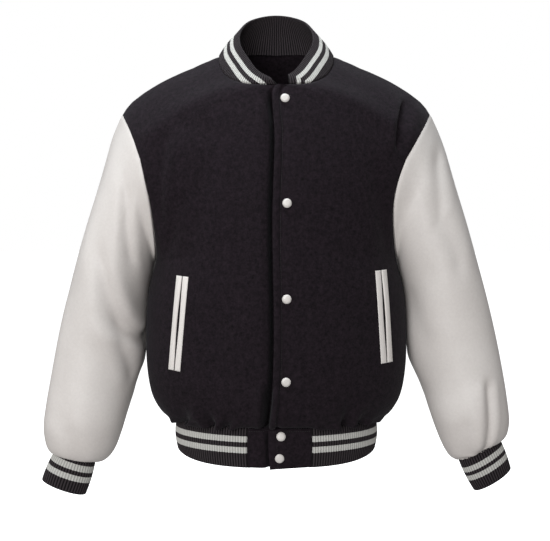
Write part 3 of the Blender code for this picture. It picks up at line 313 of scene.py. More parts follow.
def unit(vectors):
    """The same directions, one long."""
    return vectors / np.maximum(np.linalg.norm(vectors, axis=-1, keepdims=True), 1e-12)


def pick(rows, column, value):
    """The rows of a table that have one value in a column, without that column."""
    chosen = rows[column] == value
    return {name: values[chosen] for name, values in rows.items() if name != column}


def crease_depth(across, up, creases):
    """Depth of soft troughs: a bell of the distance to two straight stretches, with a low
    swelling on both sides, that fades past the ends."""
    depth = np.zeros(np.shape(across))
    for x0, z0, x1, z1, x2, z2, width, deep in zip(*creases.values()):
        off = np.full(np.shape(across), 9.0)
        beyond = np.zeros(np.shape(across))
        for ax, az, bx, bz, first in ((x0, z0, x1, z1, True), (x1, z1, x2, z2, False)):
            length = math.hypot(bx - ax, bz - az)
            run = ((across - ax) * (bx - ax) + (up - az) * (bz - az)) / length
            side_off = np.abs((across - ax) * (bz - az) - (up - az) * (bx - ax)) / length
            held = np.clip(run, 0, length)
            away = np.hypot(side_off, run - held)
            past = np.maximum(-run if first else run - length, 0)
            nearer = away < off
            off = np.where(nearer, away, off)
            beyond = np.where(nearer, past, beyond)
        across_off = np.sqrt(np.maximum(off**2 - beyond**2, 0))
        bell = (np.exp(-(across_off / width)**2)
                - 0.28 * np.exp(-((across_off - 2.1 * width) / width)**2))
        depth += deep * bell * np.exp(-(beyond / (1.6 * width))**2)
    return depth


def tuck_depth(off, rise, width, reach, deep, swell, flare):
    """Depth of a tuck at a distance off its middle: a bell with a low swelling on both sides,
    that flares and fades with the rise over the seam where it is pinched."""
    spread = width * (1 + flare * rise / reach)
    bell = np.exp(-(off / spread)**2) - swell * np.exp(-((off - 2 * spread) / spread)**2)
    return deep * bell * np.exp(-(rise / reach)**2)


def section_point(face, t, share):
    """A point of the body's plain form, front (-1) or back (+1), at section t and a share of the
    way out from its inner end: straight out across, a part of an ellipse in depth, and a power of
    the share downwards."""
    knots = np.arange(SHOULDER + 1)
    sections, neck = BODY[face]
    value = {name: smooth(knots, column, t, (UNDERARM, neck)) for name, column in sections.items()}
    angle_end = value["turn"] * math.pi / 2
    part = np.clip(np.abs(share), 0, 1)
    angle = np.arcsin(np.clip(part * np.sin(angle_end), 0, 1))
    depth = (1 - np.cos(angle)) / (1 - np.cos(angle_end))
    x = value["mid_x"] + (value["end_x"] - value["mid_x"]) * share
    y = value["mid_y"] + (value["end_y"] - value["mid_y"]) * depth
    z = value["mid_z"] + (value["end_z"] - value["mid_z"]) * part**value["fall"]
    return np.stack([x, y, z], axis=-1)


def body_point(face, side, t, share):
    """A point of the jacket's body, front (-1) or back (+1): its form, creases and hem tucks."""
    neck = BODY[face][1]
    point = section_point(face, t, share)
    point[..., 0] *= side
    if face < 0:
        bend = np.sin(math.pi * np.clip((t - UNDERARM) / LEAN_SECTIONS[side], 0, 1))**2
        point[..., 0] -= ARMHOLE_LEAN * bend * share**2
    near_seam = smoothstep(SHOULDER - 4, SHOULDER, t)
    point[..., 2] += near_seam * np.interp(np.abs(share), SHOULDER_LINE["share"], SHOULDER_LINE["rise"])
    x, z = point[..., 0], point[..., 2]
    depth = crease_depth(x, z, pick(WOOL_CREASES, "face", face))
    rise = np.interp(t, np.arange(5), HEM_RISE)
    pinched = np.zeros(np.shape(depth))
    for tuck_x, lean, width, reach, deep in zip(*pick(HEM_TUCKS, "face", face).values()):
        off = np.abs(x - tuck_x - lean * rise)
        depth += tuck_depth(off, rise, width, reach, deep, 0.4, 1.4)
        pinched = np.maximum(pinched, min(deep / 0.008, 1) * np.exp(-(off / (1.7 * width))**2))
    free = smoothstep(0, 0.10, 1 - np.abs(share)) * smoothstep(0, 0.5, SHOULDER - t)
    free = free * np.where(t > neck, smoothstep(0, 0.08, np.abs(share)), 1) * smoothstep(0, 0.25, t)
    towards = unit(np.stack([-x, -point[..., 1] * 1.5, np.zeros_like(depth)], axis=-1))
    sag = HEM_SAG * np.exp(-((rise - 0.010) / 0.008)**2) * smoothstep(0, 0.4, t) * (1 - pinched)
    sag *= smoothstep(0.050, 0.075, np.hypot(x, 0.08 * (face > 0))) * smoothstep(1, 0.94, np.abs(share))
    point += towards * (depth * free - 0.5 * sag)[..., None]
    point[..., 2] -= sag
    if face < 0 and side < 0:
        behind = LAP_SINK * smoothstep(-UNDERLAP, -0.0095, point[..., 0])
        before_edge = x - lap_x(z) + 0.0006
        groove = np.exp(-(before_edge / GROOVE_WIDTH)**2)
        groove *= smoothstep(0, 0.6, t) * smoothstep(0, 0.8, neck - t)
        point[..., 1] += behind + LAP_GROOVE * groove
        point[..., 2] += behind * 0.5 * smoothstep(1.0, 0.0, t)
    return point


def run_along(line):
    """How far along a line each of its points lies."""
    return np.concatenate([[0], np.cumsum(np.linalg.norm(np.diff(line, axis=0), axis=1))])


def rows_of(face, low, high):
    """Section values from low to high that lie evenly spaced along the panel."""
    fine = np.linspace(low, high, 1200)
    run = run_along(section_point(face, fine, np.full(len(fine), 0.45)))
    even = np.linspace(0, run[-1], int(round(run[-1] / PANEL_SPACING)) + 1)
    return np.interp(even, run, fine)


def panel_rows(face):
    """The section value of each of a panel's rows, closer together at the hem and the shoulder,
    and the row where the neckline starts."""
    neck = BODY[face][1]
    t = rows_of(face, 0, neck)
    t = np.concatenate([[0, 0.03, 0.07, 0.12, 0.18], t[t > 0.22], rows_of(face, neck, 15.9)[1:],
                        [15.94, 15.97, 16.0]])
    return t, int(np.argmin(np.abs(t - neck)))


def add_mesh(name, points, quads, corner_uv, finish):
    """One mesh from arrays: points, four corners a face, and a place on the cloth a corner."""
    mesh = bpy.data.meshes.new(name)
    mesh.vertices.add(len(points))
    mesh.vertices.foreach_set("co", points.astype(np.float32).ravel())
    mesh.loops.add(quads.size)
    mesh.loops.foreach_set("vertex_index", quads.ravel().astype(np.int32))
    mesh.polygons.add(len(quads))
    mesh.polygons.foreach_set("loop_start", np.arange(0, quads.size, 4, dtype=np.int32))
    mesh.update(calc_edges=True)
    mesh.shade_smooth()
    layer = mesh.uv_layers.new(name="cloth")
    layer.uv.foreach_set("vector", corner_uv.astype(np.float32).ravel())
    mesh.set_sharp_from_angle(angle=math.radians(50))
    mesh.materials.append(finish)
    piece = bpy.data.objects.new(name, mesh)
    bpy.context.scene.collection.objects.link(piece)
    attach(piece, "root")
    return piece


def grid_normals(grid, wrap, outward):
    """Unit normals of a grid: the cross product of its two directions, turned to look outward."""
    down = np.gradient(grid, axis=0)
    if wrap:
        along = np.roll(grid, -1, axis=1) - np.roll(grid, 1, axis=1)
    else:
        along = np.gradient(grid, axis=1)
    normal = unit(np.cross(along, down))
    return normal * (1 if (normal * outward).sum() > 0 else -1)


def add_wall(name, outer, inner, uv, finish, wrap=False, keep=None, weld=None, lining=0):
    """A closed wall: the outer grid, the inner grid behind it, and rim faces wherever a kept cell
    has no neighbour.  Its faces are turned to look away from the other side.  weld gives a column
    and the rows in which it is one with the column after it.  lining moves the inner face along
    on the cloth."""
    rows, columns = outer.shape[:2]
    cells = columns if wrap else columns - 1
    keep = np.ones((rows - 1, cells), bool) if keep is None else keep
    i, j = np.nonzero(keep)
    k = (j + 1) % columns
    corners = np.stack([i * columns + j, i * columns + k, (i + 1) * columns + k, (i + 1) * columns + j], 1)
    uv_corners = np.stack([i * (cells + 1) + j, i * (cells + 1) + j + 1,
                           (i + 1) * (cells + 1) + j + 1, (i + 1) * (cells + 1) + j], 1)
    count = rows * columns
    padded = np.pad(keep, 1)
    if weld is not None:
        column, welded = weld
        numbers = np.arange(count).reshape(rows, columns)
        numbers[welded, column + 1] = numbers[welded, column]
        corners = numbers.ravel()[corners]
        padded[1:-1, column + 1] |= welded[:-1] & welded[1:]
    quads = [corners, corners[:, ::-1] + count]
    uvs = [uv_corners, uv_corners[:, ::-1]]
    if wrap:
        padded[:, 0] = padded[:, -2]
        padded[:, -1] = padded[:, 1]
    for start, end, di, dj in ((0, 1, -1, 0), (1, 2, 0, 1), (2, 3, 1, 0), (3, 0, 0, -1)):
        rim = ~padded[i + 1 + di, j + 1 + dj]
        a, b = corners[rim, start], corners[rim, end]
        quads.append(np.stack([b, a, a + count, b + count], 1))
        ua, ub = uv_corners[rim, start], uv_corners[rim, end]
        uvs.append(np.stack([ub, ua, ua, ub], 1))
    quads = np.concatenate(quads)
    corner_uv = uv.reshape(-1, 2)[np.concatenate(uvs)]
    corner_uv[len(i):2 * len(i), :, 1] += lining
    facing = np.cross(outer[i, k] - outer[i, j], outer[i + 1, j] - outer[i, j])
    if (facing * (outer[i, j] - inner[i, j])).sum() < 0:
        quads = quads[:, ::-1]
        corner_uv = corner_uv[:, ::-1]
    points = np.concatenate([outer.reshape(-1, 3), inner.reshape(-1, 3)])
    used, quads = np.unique(quads, return_inverse=True)
    return add_mesh(name, points[used], quads.reshape(-1, 4), corner_uv, finish)


def roll_in(points, seam, width, depth):
    """How far the cloth dips towards a seam: a bell of the distance to the seam's points."""
    flat = points.reshape(-1, 3).astype(np.float32)
    line = seam.reshape(-1, 3).astype(np.float32)
    nearest = np.full(len(flat), 9.0, np.float32)
    for part in np.array_split(line, max(1, len(line) // 60)):
        away = ((flat[:, None] - part[None])**2).sum(-1).min(1)
        nearest = np.minimum(nearest, away)
    return (depth * np.exp(-nearest / width**2)).reshape(points.shape[:-1])


def cloth_uv(grid, wrap=False):
    """Places on the cloth in metres: how far along each row and how far down the middle column."""
    closed = np.concatenate([grid, grid[:, :1]], axis=1) if wrap else grid
    along = np.cumsum(np.linalg.norm(np.diff(closed, axis=1, prepend=closed[:, :1]), axis=-1), axis=1)
    middle = closed[:, closed.shape[1] // 2]
    down = np.cumsum(np.linalg.norm(np.diff(middle, axis=0, prepend=middle[:1]), axis=-1))
    return np.stack([along, np.broadcast_to(down[:, None], along.shape)], axis=-1)


def calc(tree, operation, *values):
    """What a math node makes of one or two values."""
    return node(tree, "ShaderNodeMath", dict(enumerate(values)), operation=operation).outputs[0]


def ramp(tree, value, low, high, at_low=0.0, at_high=1.0):
    """A straight ramp of a value, level past its two ends."""
    return node(tree, "ShaderNodeMapRange", {"Value": value, "From Min": low, "From Max": high,
                                             "To Min": at_low, "To Max": at_high}).outputs[0]


def noise(tree, place, scale, detail, roughness=0.5, distortion=0.0):
    """Soft noise over the places given."""
    values = {"Vector": place, "Scale": scale, "Detail": detail, "Roughness": roughness,
              "Distortion": distortion}
    return node(tree, "ShaderNodeTexNoise", values).outputs["Fac"]


def roughen(tree, shader, height, strength, distance):
    """Gives a shader a fine relief."""
    bump = node(tree, "ShaderNodeBump", {"Height": height, "Strength": strength, "Distance": distance})
    tree.links.new(bump.outputs["Normal"], shader.inputs["Normal"])


def object_place(tree):
    """Where each point is on the object."""
    return node(tree, "ShaderNodeTexCoord").outputs["Object"]


# Mottle: two sizes of soft noise that vary a colour between a low and a high tone.
mottle = bpy.data.node_groups.new("mottle", "ShaderNodeTree")
for label, way, kind in (("Low", "INPUT", "Color"), ("High", "INPUT", "Color"), ("Size", "INPUT", "Float"),
                         ("Fine size", "INPUT", "Float"), ("Color", "OUTPUT", "Color"),
                         ("Fine", "OUTPUT", "Float")):
    mottle.interface.new_socket(name=label, in_out=way, socket_type="NodeSocket" + kind)
given, result = mottle.nodes.new("NodeGroupInput"), mottle.nodes.new("NodeGroupOutput")
mottle_place = object_place(mottle)
fine = noise(mottle, mottle_place, given.outputs["Fine size"], 4.0, 0.65)
both = calc(mottle, "ADD", noise(mottle, mottle_place, given.outputs["Size"], 3.0, 0.55), fine)
tone = node(mottle, "ShaderNodeMix", {0: ramp(mottle, both, 0.65, 1.35), 6: given.outputs["Low"],
                                      7: given.outputs["High"]}, data_type="RGBA")
mottle.links.new(tone.outputs[2], result.inputs["Color"])
mottle.links.new(fine, result.inputs["Fine"])


def mottled(name, low, high, size, fine_size, values):
    """A material in two tones of mottle, with these values on its shader, and its fine noise."""
    made, tree, shader = new_material(name, values)
    skin = node(tree, "ShaderNodeGroup", {"Low": low, "High": high, "Size": size, "Fine size": fine_size},
                node_tree=mottle)
    tree.links.new(skin.outputs["Color"], shader.inputs["Base Color"])
    return made, tree, shader, skin.outputs["Fine"]


# Melton wool: a matt felted nap with short matted fibres and a faint sheen.
black_wool, tree, shader, _ = mottled(
    "black melton wool", (0.0029, 0.0018, 0.0028, 1), (0.0178, 0.0116, 0.0162, 1), 150.0, 330.0,
    {"Roughness": 0.93, "Sheen Weight": 0.05, "Sheen Roughness": 0.45,
     "Sheen Tint": (0.75, 0.76, 0.80, 1), "Specular IOR Level": 0.15})
place = object_place(tree)
nap = calc(tree, "ADD", noise(tree, place, 1500.0, 3.0, 0.7, 1.2), noise(tree, place, 320.0, 2.0))
roughen(tree, shader, nap, 0.35, 0.0006)


def seam_lines(face, side):
    """The sewn borders of a half panel, as one run of points: hem, side and armhole, shoulder, neck."""
    t = np.linspace(0, SHOULDER, 520)
    share = np.linspace(0, 1, 260)
    above = t[t >= BODY[face][1]]
    return np.concatenate([body_point(face, side, 0 * share, share), body_point(face, side, t, 0 * t + 1),
                           body_point(face, side, 0 * share + SHOULDER, share),
                           body_point(face, side, above, 0 * above)])


def draw_back(grid):
    """Moves a grid's last column, first and last rows, half the seam gap into the cloth."""
    half = SEAM_GAP / 2
    grid[:, -1] += unit(grid[:, -2] - grid[:, -1]) * half
    grid[0] += unit(grid[1] - grid[0]) * half
    grid[-1] += unit(grid[-2] - grid[-1]) * half
    return grid


for side, name, cut_width in ((+1, "front_left", 0.345), (-1, "front_right", 0.360)):
    t, neck_row = panel_rows(-1)
    shares = np.concatenate([np.linspace(0, 0.08, 14, endpoint=False), np.linspace(0.08, 0.945, 76),
                             NEAR_SEAM])
    strip = np.linspace(1, 0, STRIP_COLUMNS, endpoint=False)
    width = smooth(np.arange(SHOULDER + 1), FRONT["end_x"], t, (UNDERARM,))
    edge_x = lap_x(section_point(-1, t, 0 * t)[:, 2]) if side > 0 else np.full(len(t), -UNDERLAP)
    share_grid = np.concatenate([strip[None] * (edge_x / width)[:, None],
                                 np.broadcast_to(shares, (len(t), len(shares)))], axis=1)
    t_grid = np.broadcast_to(t[:, None], share_grid.shape)
    form = draw_back(body_point(-1, side, t_grid, share_grid))
    normal = grid_normals(form, False, np.array([0, -1.0, 0]))
    inner = form - normal * WOOL
    dip = roll_in(form, seam_lines(-1, side), *SEAM_DIP)
    outer = form - normal * dip[..., None]
    if side > 0:        # the folded edge: rounded off, puffed, and pulled in along the stitches
        from_edge = form[..., 0] - edge_x[:, None]
        below_neck = (np.arange(len(t))[:, None] <= neck_row)[..., None]
        past = from_edge - PLACKET_STITCH
        relief = (0.0011 * np.exp(-(from_edge / 0.0016)**2)
                  + 0.0030 * np.exp(-(past / np.where(past < 0, 0.0015, 0.0060))**2)
                  - 0.0016 * np.exp(-((from_edge - 0.005) / 0.0046)**2))
        outer -= normal * relief[..., None] * below_neck
        inner -= normal * (EDGE_THICK * smoothstep(0.025, 0.021, from_edge))[..., None] * below_neck
    cells = np.ones((len(t) - 1, share_grid.shape[1] - 1), bool)
    cells[neck_row:, :STRIP_COLUMNS] = False
    piece = add_wall(name + "_cloth", outer, inner, cloth_uv(form), black_wool, keep=cells)
    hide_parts(name)

# The back is one panel: each half is worked out from the middle outwards, and they share the
# middle column below the neck.
t, neck_row = panel_rows(+1)
shares = np.concatenate([np.linspace(0, 0.945, 74), NEAR_SEAM])
t_grid, share_grid = np.meshgrid(t, shares, indexing="ij")
halves = []
for side in (-1, +1):
    half = draw_back(body_point(+1, side, t_grid, share_grid))
    half[neck_row + 1:, 0] += unit(half[neck_row + 1:, 1] - half[neck_row + 1:, 0]) * SEAM_GAP / 2
    normal = grid_normals(half, False, np.array([0, 1.0, 0]))
    normal[:neck_row + 1, 0] = unit(normal[:neck_row + 1, 0] * (0, 1, 1))
    dip = roll_in(half, seam_lines(+1, side), *SEAM_DIP)
    halves.append((half, half - normal * dip[..., None], half - normal * WOOL))
form, outer, inner = (np.concatenate([right[:, ::-1], left], axis=1) for right, left in zip(*halves))
middle = len(shares) - 1
cells = np.ones((len(t) - 1, form.shape[1] - 1), bool)
cells[:, middle] = False
weld = np.arange(len(t)) <= neck_row
piece = add_wall("back_cloth", outer, inner, cloth_uv(form), black_wool, keep=cells,
                 weld=(middle, weld))
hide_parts("back")


# ---------------------------------------------------------------- sleeves
# Two set-in sleeves of pale, smooth cowhide, each one piece, sewn to the armhole and gathered
# into the cuff.  The leather is thin and soft: it falls in broad shallow folds, pinched at the
# inside of the elbow, and puffs over the cuff.
LEATHER = 0.0016
LEATHER_DIP = (0.0030, 0.0008)        # width and depth of the dip along a seam
SETTLE = 0.34               # part of the sleeve over which the armhole's shape fades out
ARMPIT_BACK = 0.022         # how far the armpit side hangs behind the outer side
SLEEVE_ROUND = 0.073        # mean radius and length, to lay creases out on the leather
SLEEVE_LONG = 0.600
# Each sleeve's sections, from the armhole to the cuff: the outer and the inner end, half the
# depth, and the middle of the depth.
SLEEVES = {+1: table(
    "out_x    out_z    in_x     in_z    half    mid_y",
    (0.2620, -0.094,  0.2050, -0.345,  0.080,  0.000),
    (0.2770, -0.128,  0.2090, -0.3535, 0.082, -0.001),
    (0.2900, -0.166,  0.2112, -0.3670, 0.083, -0.003),
    (0.3050, -0.2200, 0.2145, -0.3850, 0.082, -0.005),
    (0.3220, -0.2800, 0.2172, -0.4100, 0.080, -0.007),
    (0.3385, -0.3415, 0.2192, -0.4380, 0.077, -0.010),
    (0.3545, -0.4040, 0.2208, -0.4740, 0.073, -0.013),
    (0.3685, -0.4685, 0.2275, -0.5130, 0.069, -0.017),
    (0.3795, -0.5290, 0.2460, -0.5550, 0.065, -0.021),
    (0.3860, -0.5740, 0.2565, -0.5900, 0.062, -0.024),
    (0.3890, -0.6055, 0.2660, -0.6190, 0.058, -0.026),
    (0.3860, -0.6260, 0.2785, -0.6495, 0.051, -0.028),
    (0.3795, -0.6355, 0.2905, -0.6675, 0.041, -0.029),
    (0.3705, -0.6345, 0.3055, -0.6735, 0.029, -0.030)), -1: table(
    "out_x    out_z    in_x     in_z    half    mid_y",
    (0.2620, -0.094,  0.2050, -0.345,  0.080,  0.000),
    (0.2770, -0.130,  0.2090, -0.3535, 0.082, -0.001),
    (0.2890, -0.170,  0.2112, -0.3670, 0.083, -0.003),
    (0.3040, -0.2220, 0.2145, -0.3850, 0.082, -0.005),
    (0.3210, -0.2800, 0.2172, -0.4100, 0.080, -0.007),
    (0.3380, -0.3415, 0.2192, -0.4400, 0.077, -0.010),
    (0.3535, -0.4070, 0.2208, -0.4765, 0.073, -0.012),
    (0.3670, -0.4735, 0.2255, -0.5130, 0.069, -0.014),
    (0.3785, -0.5380, 0.2380, -0.5535, 0.065, -0.016),
    (0.3860, -0.5820, 0.2495, -0.5920, 0.062, -0.018),
    (0.3900, -0.6165, 0.2600, -0.6280, 0.058, -0.020),
    (0.3870, -0.6440, 0.2715, -0.6575, 0.051, -0.021),
    (0.3805, -0.6585, 0.2865, -0.6745, 0.041, -0.022),
    (0.3720, -0.6620, 0.3045, -0.6780, 0.029, -0.022))}

# Creases on the leather: round is degrees from the outer side over the front (90) to the armpit
# side (180) and the back (270); down is the part of the sleeve's length from the armhole.
SLEEVE_CREASES = table(
    "side round0 down0  round1 down1  round2 down2  width   depth",
    (-1,   77,   0.140,   92,  0.190,  107,  0.230,  0.013,  0.0038),
    (-1,   76,   0.335,   98,  0.400,  116,  0.443,  0.017,  0.0046),
    (-1,  116,   0.443,  142,  0.450,  172,  0.453,  0.013,  0.0040),
    (-1,  124,   0.505,  134,  0.532,  146,  0.565,  0.012,  0.0036),
    (-1,  188,   0.355,  182,  0.392,  175,  0.430,  0.012,  0.0035),
    (-1,  112,   0.340,  132,  0.385,  156,  0.400,  0.018, -0.0026),
    (-1,   96,   0.490,  118,  0.500,  150,  0.500,  0.016, -0.0020),
    (-1,   40,   0.450,   48,  0.600,   60,  0.720,  0.020,  0.0018),
    (-1,   80,   0.780,   90,  0.840,   98,  0.905,  0.016,  0.0020),
    (+1,   44,   0.130,   70,  0.230,   64,  0.340,  0.015,  0.0042),
    (+1,  150,   0.300,  142,  0.400,  132,  0.470,  0.016,  0.0022),
    (+1,   62,   0.640,   70,  0.760,   80,  0.900,  0.0085, 0.0052),
    (+1,   86,   0.660,   94,  0.760,  100,  0.860,  0.018, -0.0024),
    (+1,  108,   0.760,  114,  0.820,  118,  0.890,  0.016,  0.0020),
    (-1,  250,   0.180,  262,  0.260,  270,  0.350,  0.016,  0.0035),
    (-1,  216,   0.510,  236,  0.560,  268,  0.600,  0.015,  0.0060),
    (-1,  213,   0.610,  228,  0.640,  248,  0.650,  0.013,  0.0045),
    (-1,  300,   0.400,  308,  0.540,  300,  0.660,  0.020,  0.0025),
    (-1,  240,   0.760,  252,  0.820,  262,  0.900,  0.016,  0.0028),
    (+1,  244,   0.160,  258,  0.250,  262,  0.350,  0.016,  0.0038),
    (+1,  216,   0.490,  234,  0.530,  262,  0.560,  0.015,  0.0060),
    (+1,  213,   0.590,  232,  0.620,  256,  0.660,  0.013,  0.0045),
    (+1,  304,   0.380,  310,  0.520,  302,  0.640,  0.020,  0.0025),
    (+1,  256,   0.740,  250,  0.820,  258,  0.900,  0.016,  0.0028),
    (-1,   10,   0.200,   14,  0.320,   12,  0.420,  0.022,  0.0020),
    (+1,  352,   0.220,  356,  0.340,  352,  0.440,  0.022,  0.0020),
    (-1,  172,   0.420,  180,  0.520,  186,  0.600,  0.016,  0.0014),
    (+1,  186,   0.420,  180,  0.510,  174,  0.590,  0.016,  0.0012))

# Tucks where the leather is gathered into the cuff.
CUFF_TUCKS = table(
    "side round  lean   width   reach   depth",
    (-1,   12,   10,  0.0042,  0.026,  0.0030),
    (-1,   38,   -8,  0.0036,  0.018,  0.0024),
    (-1,   62,    6,  0.0040,  0.022,  0.0026),
    (-1,   96,   -4,  0.0036,  0.016,  0.0020),
    (-1,  128,    8,  0.0044,  0.028,  0.0032),
    (-1,  154,   -6,  0.0036,  0.018,  0.0026),
    (-1,  188,    4,  0.0042,  0.026,  0.0030),
    (-1,  221,   -8,  0.0038,  0.020,  0.0026),
    (-1,  252,    6,  0.0044,  0.026,  0.0030),
    (-1,  283,   -6,  0.0036,  0.018,  0.0024),
    (-1,  312,    8,  0.0042,  0.024,  0.0028),
    (-1,  341,   -4,  0.0036,  0.018,  0.0024),
    (+1,   18,    6,  0.0040,  0.022,  0.0026),
    (+1,   82,   -3,  0.0056,  0.040,  0.0105),
    (+1,   52,    8,  0.0038,  0.020,  0.0024),
    (+1,  102,   -6,  0.0036,  0.016,  0.0020),
    (+1,  131,    4,  0.0042,  0.024,  0.0028),
    (+1,  163,   -8,  0.0038,  0.020,  0.0026),
    (+1,  196,    8,  0.0044,  0.026,  0.0032),
    (+1,  229,   -4,  0.0038,  0.020,  0.0026),
    (+1,  258,    8,  0.0042,  0.026,  0.0030),
    (+1,  290,   -6,  0.0036,  0.018,  0.0024),
    (+1,  322,    6,  0.0042,  0.024,  0.0028),
    (+1,  349,   -8,  0.0036,  0.018,  0.0022))

ARMHOLE_STEPS = (7, 7.8, 8.6, 9.4, 10.3, 11.2, 12, 12.5, 13, 13.8, 14.6, 15.3, 16)
SLEEVE_FINE = 7             # columns to each armhole step
SLEEVE_ROWS = 176
# The turned-in edge at the armhole: how far back along the sleeve, how deep, and how far inwards.
ARMHOLE_TUCK = ((0.0040, 0.0075, 0.0075), (0.0034, 0.0052, 0.0000), (0.0004, 0.0028, 0.0000))


def section_ring(section, angles):
    """Rings of a tube from sections: an ellipse whose long way joins the outer and inner ends."""
    out, inn = (np.stack([section[end + "_x"], section["mid_y"], section[end + "_z"]], axis=-1)[:, None]
                for end in ("out", "in"))
    ahead = section["half"][:, None, None] * (0, -1, 0)
    return ((out + inn) / 2 + (out - inn) / 2 * np.cos(angles)[..., None]
            + ahead * np.sin(angles)[..., None])


def sleeve_form(side, turns):
    """The sleeve's rings: the armhole's own shape at the top fades into plain sections, and its
    creases and cuff tucks are pushed in towards each ring's middle."""
    rows = SLEEVES[side]
    steps = np.arange(len(ARMHOLE_STEPS))
    t = np.interp(np.linspace(0, steps[-1], steps[-1] * SLEEVE_FINE + 1), steps, ARMHOLE_STEPS)
    down = body_point(-1, side, t[::-1], np.ones(len(t)))
    up = body_point(+1, side, t[1:-1], np.ones(len(t) - 2))
    loop = np.concatenate([down, up]) * (side, 1, 1)
    knots = np.arange(len(rows["half"]))
    section = {name: smooth(knots, column, turns * knots[-1]) for name, column in rows.items()}
    first, last = (np.array([rows[end + "_x"][0], 0, rows[end + "_z"][0]]) for end in ("out", "in"))
    half = (first - last) / 2
    own = np.arccos(np.clip((loop - (first + last) / 2) @ half / (half @ half), -1, 1))
    own[len(t):] = 2 * math.pi - own[len(t):]
    even = np.linspace(0, 2 * math.pi, len(loop), endpoint=False)
    fade = 1 - smoothstep(0, SETTLE, turns)
    angles = own * fade[:, None] + even * (1 - fade[:, None])
    rings = section_ring(section, angles)
    back = ARMPIT_BACK * smoothstep(0, 0.12, turns) * smoothstep(0.75, 0.50, turns)
    rings[..., 1] += back[:, None] * (1 - np.cos(angles)) / 2
    rings += (loop - rings[0]) * fade[:, None, None]
    creases = pick(SLEEVE_CREASES, "side", side)
    laid = {name: column * (math.radians(1) * SLEEVE_ROUND if name.startswith("round") else
                            SLEEVE_LONG if name.startswith("down") else 1)
            for name, column in creases.items()}
    depth = np.zeros(angles.shape)
    run = np.broadcast_to(turns[:, None] * SLEEVE_LONG, angles.shape)
    for wrapped in (0, 2 * math.pi, -2 * math.pi):
        depth += crease_depth((angles + wrapped) * SLEEVE_ROUND, run, laid)
    girth = np.linalg.norm(np.roll(rings, -1, axis=1) - rings, axis=-1).sum(1) / (2 * math.pi)
    rise = SLEEVE_LONG * (1 - turns)[:, None]
    for where, lean, width, reach, deep in zip(*pick(CUFF_TUCKS, "side", side).values()):
        middle = math.radians(where) + math.radians(lean) * rise / reach
        off = np.abs((angles - middle + math.pi) % (2 * math.pi) - math.pi) * girth[:, None]
        depth += tuck_depth(off, rise, width, reach, deep, 0.45, 1.2)
    depth *= smoothstep(0, 0.05, turns)[:, None] * smoothstep(0, 0.006, 1 - turns)[:, None]
    rings -= unit(rings - rings.mean(axis=1, keepdims=True)) * depth[..., None]
    return rings * (side, 1, 1)


def soft_leather(name, low, high):
    """Smooth cowhide: a faint pebble, soft mottling, and a satin finish that varies a little."""
    made, tree, shader, fine = mottled(name, low, high, 11.0, 240.0, {"Specular IOR Level": 0.35})
    place = object_place(tree)
    pebble = node(tree, "ShaderNodeTexVoronoi", {"Vector": place, "Scale": 780.0, "Randomness": 1.0},
                  feature="SMOOTH_F1").outputs["Distance"]
    roughen(tree, shader, calc(tree, "ADD", pebble, noise(tree, place, 120.0, 4.0, 0.6)), 0.16, 0.0005)
    tree.links.new(ramp(tree, fine, 0, 1, 0.40, 0.56), shader.inputs["Roughness"])
    return made


pale_leather = soft_leather("pale cowhide", (0.600, 0.558, 0.532, 1), (0.680, 0.640, 0.612, 1))

turns = np.concatenate([[0, 0.0016, 0.0034, 0.0055, 0.008], np.linspace(0.0115, 0.988, SLEEVE_ROWS),
                        [0.992, 0.9955, 0.998, 1.0]])
for side, name in ((+1, "sleeve_left"), (-1, "sleeve_right")):
    form = sleeve_form(side, turns)
    form[0] += unit(form[1] - form[0]) * SEAM_GAP / 2
    form[-1] += unit(form[-2] - form[-1]) * SEAM_GAP / 2
    outward = form - form.mean(axis=1, keepdims=True)
    normal = grid_normals(form, True, outward)
    dip = roll_in(form, np.concatenate([form[0], form[-1]]), *LEATHER_DIP)
    turned = [form[0] - unit(form[1] - form[0]) * back - normal[0] * deep - (side * inwards, 0, 0)
              for back, deep, inwards in ARMHOLE_TUCK]
    outer = np.concatenate([turned, form - normal * dip[..., None]])
    inner = outer - np.concatenate([normal[:1]] * len(turned) + [normal]) * LEATHER
    piece = add_wall(name + "_leather", outer, inner, cloth_uv(outer, wrap=True),
                     pale_leather, wrap=True)
    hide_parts(name)


# ---------------------------------------------------------------- rib knit: collar, cuffs, band
# Black rib-knit trim with two pale stripes, knitted as one strip with raised ribs and folded
# double: a standing collar that narrows to the front, two cuffs and a waistband.
RIB = 0.0024                # thickness between the ribs
RIB_PITCH = 0.0045
RIB_HEIGHT = 0.0011
RIB_COLUMNS = 6             # grid columns to a rib
PLAIN_SIDE = 0.5            # metres on along the knit, where the folded-in half has no stripes
KNIT_STITCH = 0.0019        # height of one knitted stitch
GROOVE_PAINTED_SHADE = (0.06, 0.66)           # painted shade between the ribs: what is left of the colour there, dark and pale
KNIT_SLANT = 9.0            # how steeply a stitch's two legs rise away from its middle
STRIPE_EDGE = 0.0006        # height over which a stripe starts or ends
COLLAR_BULGE = 0.0030
COLLAR_LAP_END = 0.020      # x where the collar's left half ends, clear of the lap
BAND_FRONT = 0.063          # height of the waistband at the front, and at the sides and back
BAND_SIDE = 0.050
BAND_BULGE = 0.003
BAND_DRAW_IN = 0.010
BAND_HIDDEN = 0.004         # length of the band's ends behind the tabs
TAB_END = {+1: 0.340, -1: 0.276}     # part of a front's hem width that its plain tab takes
CUFF_BELLY = 0.0016

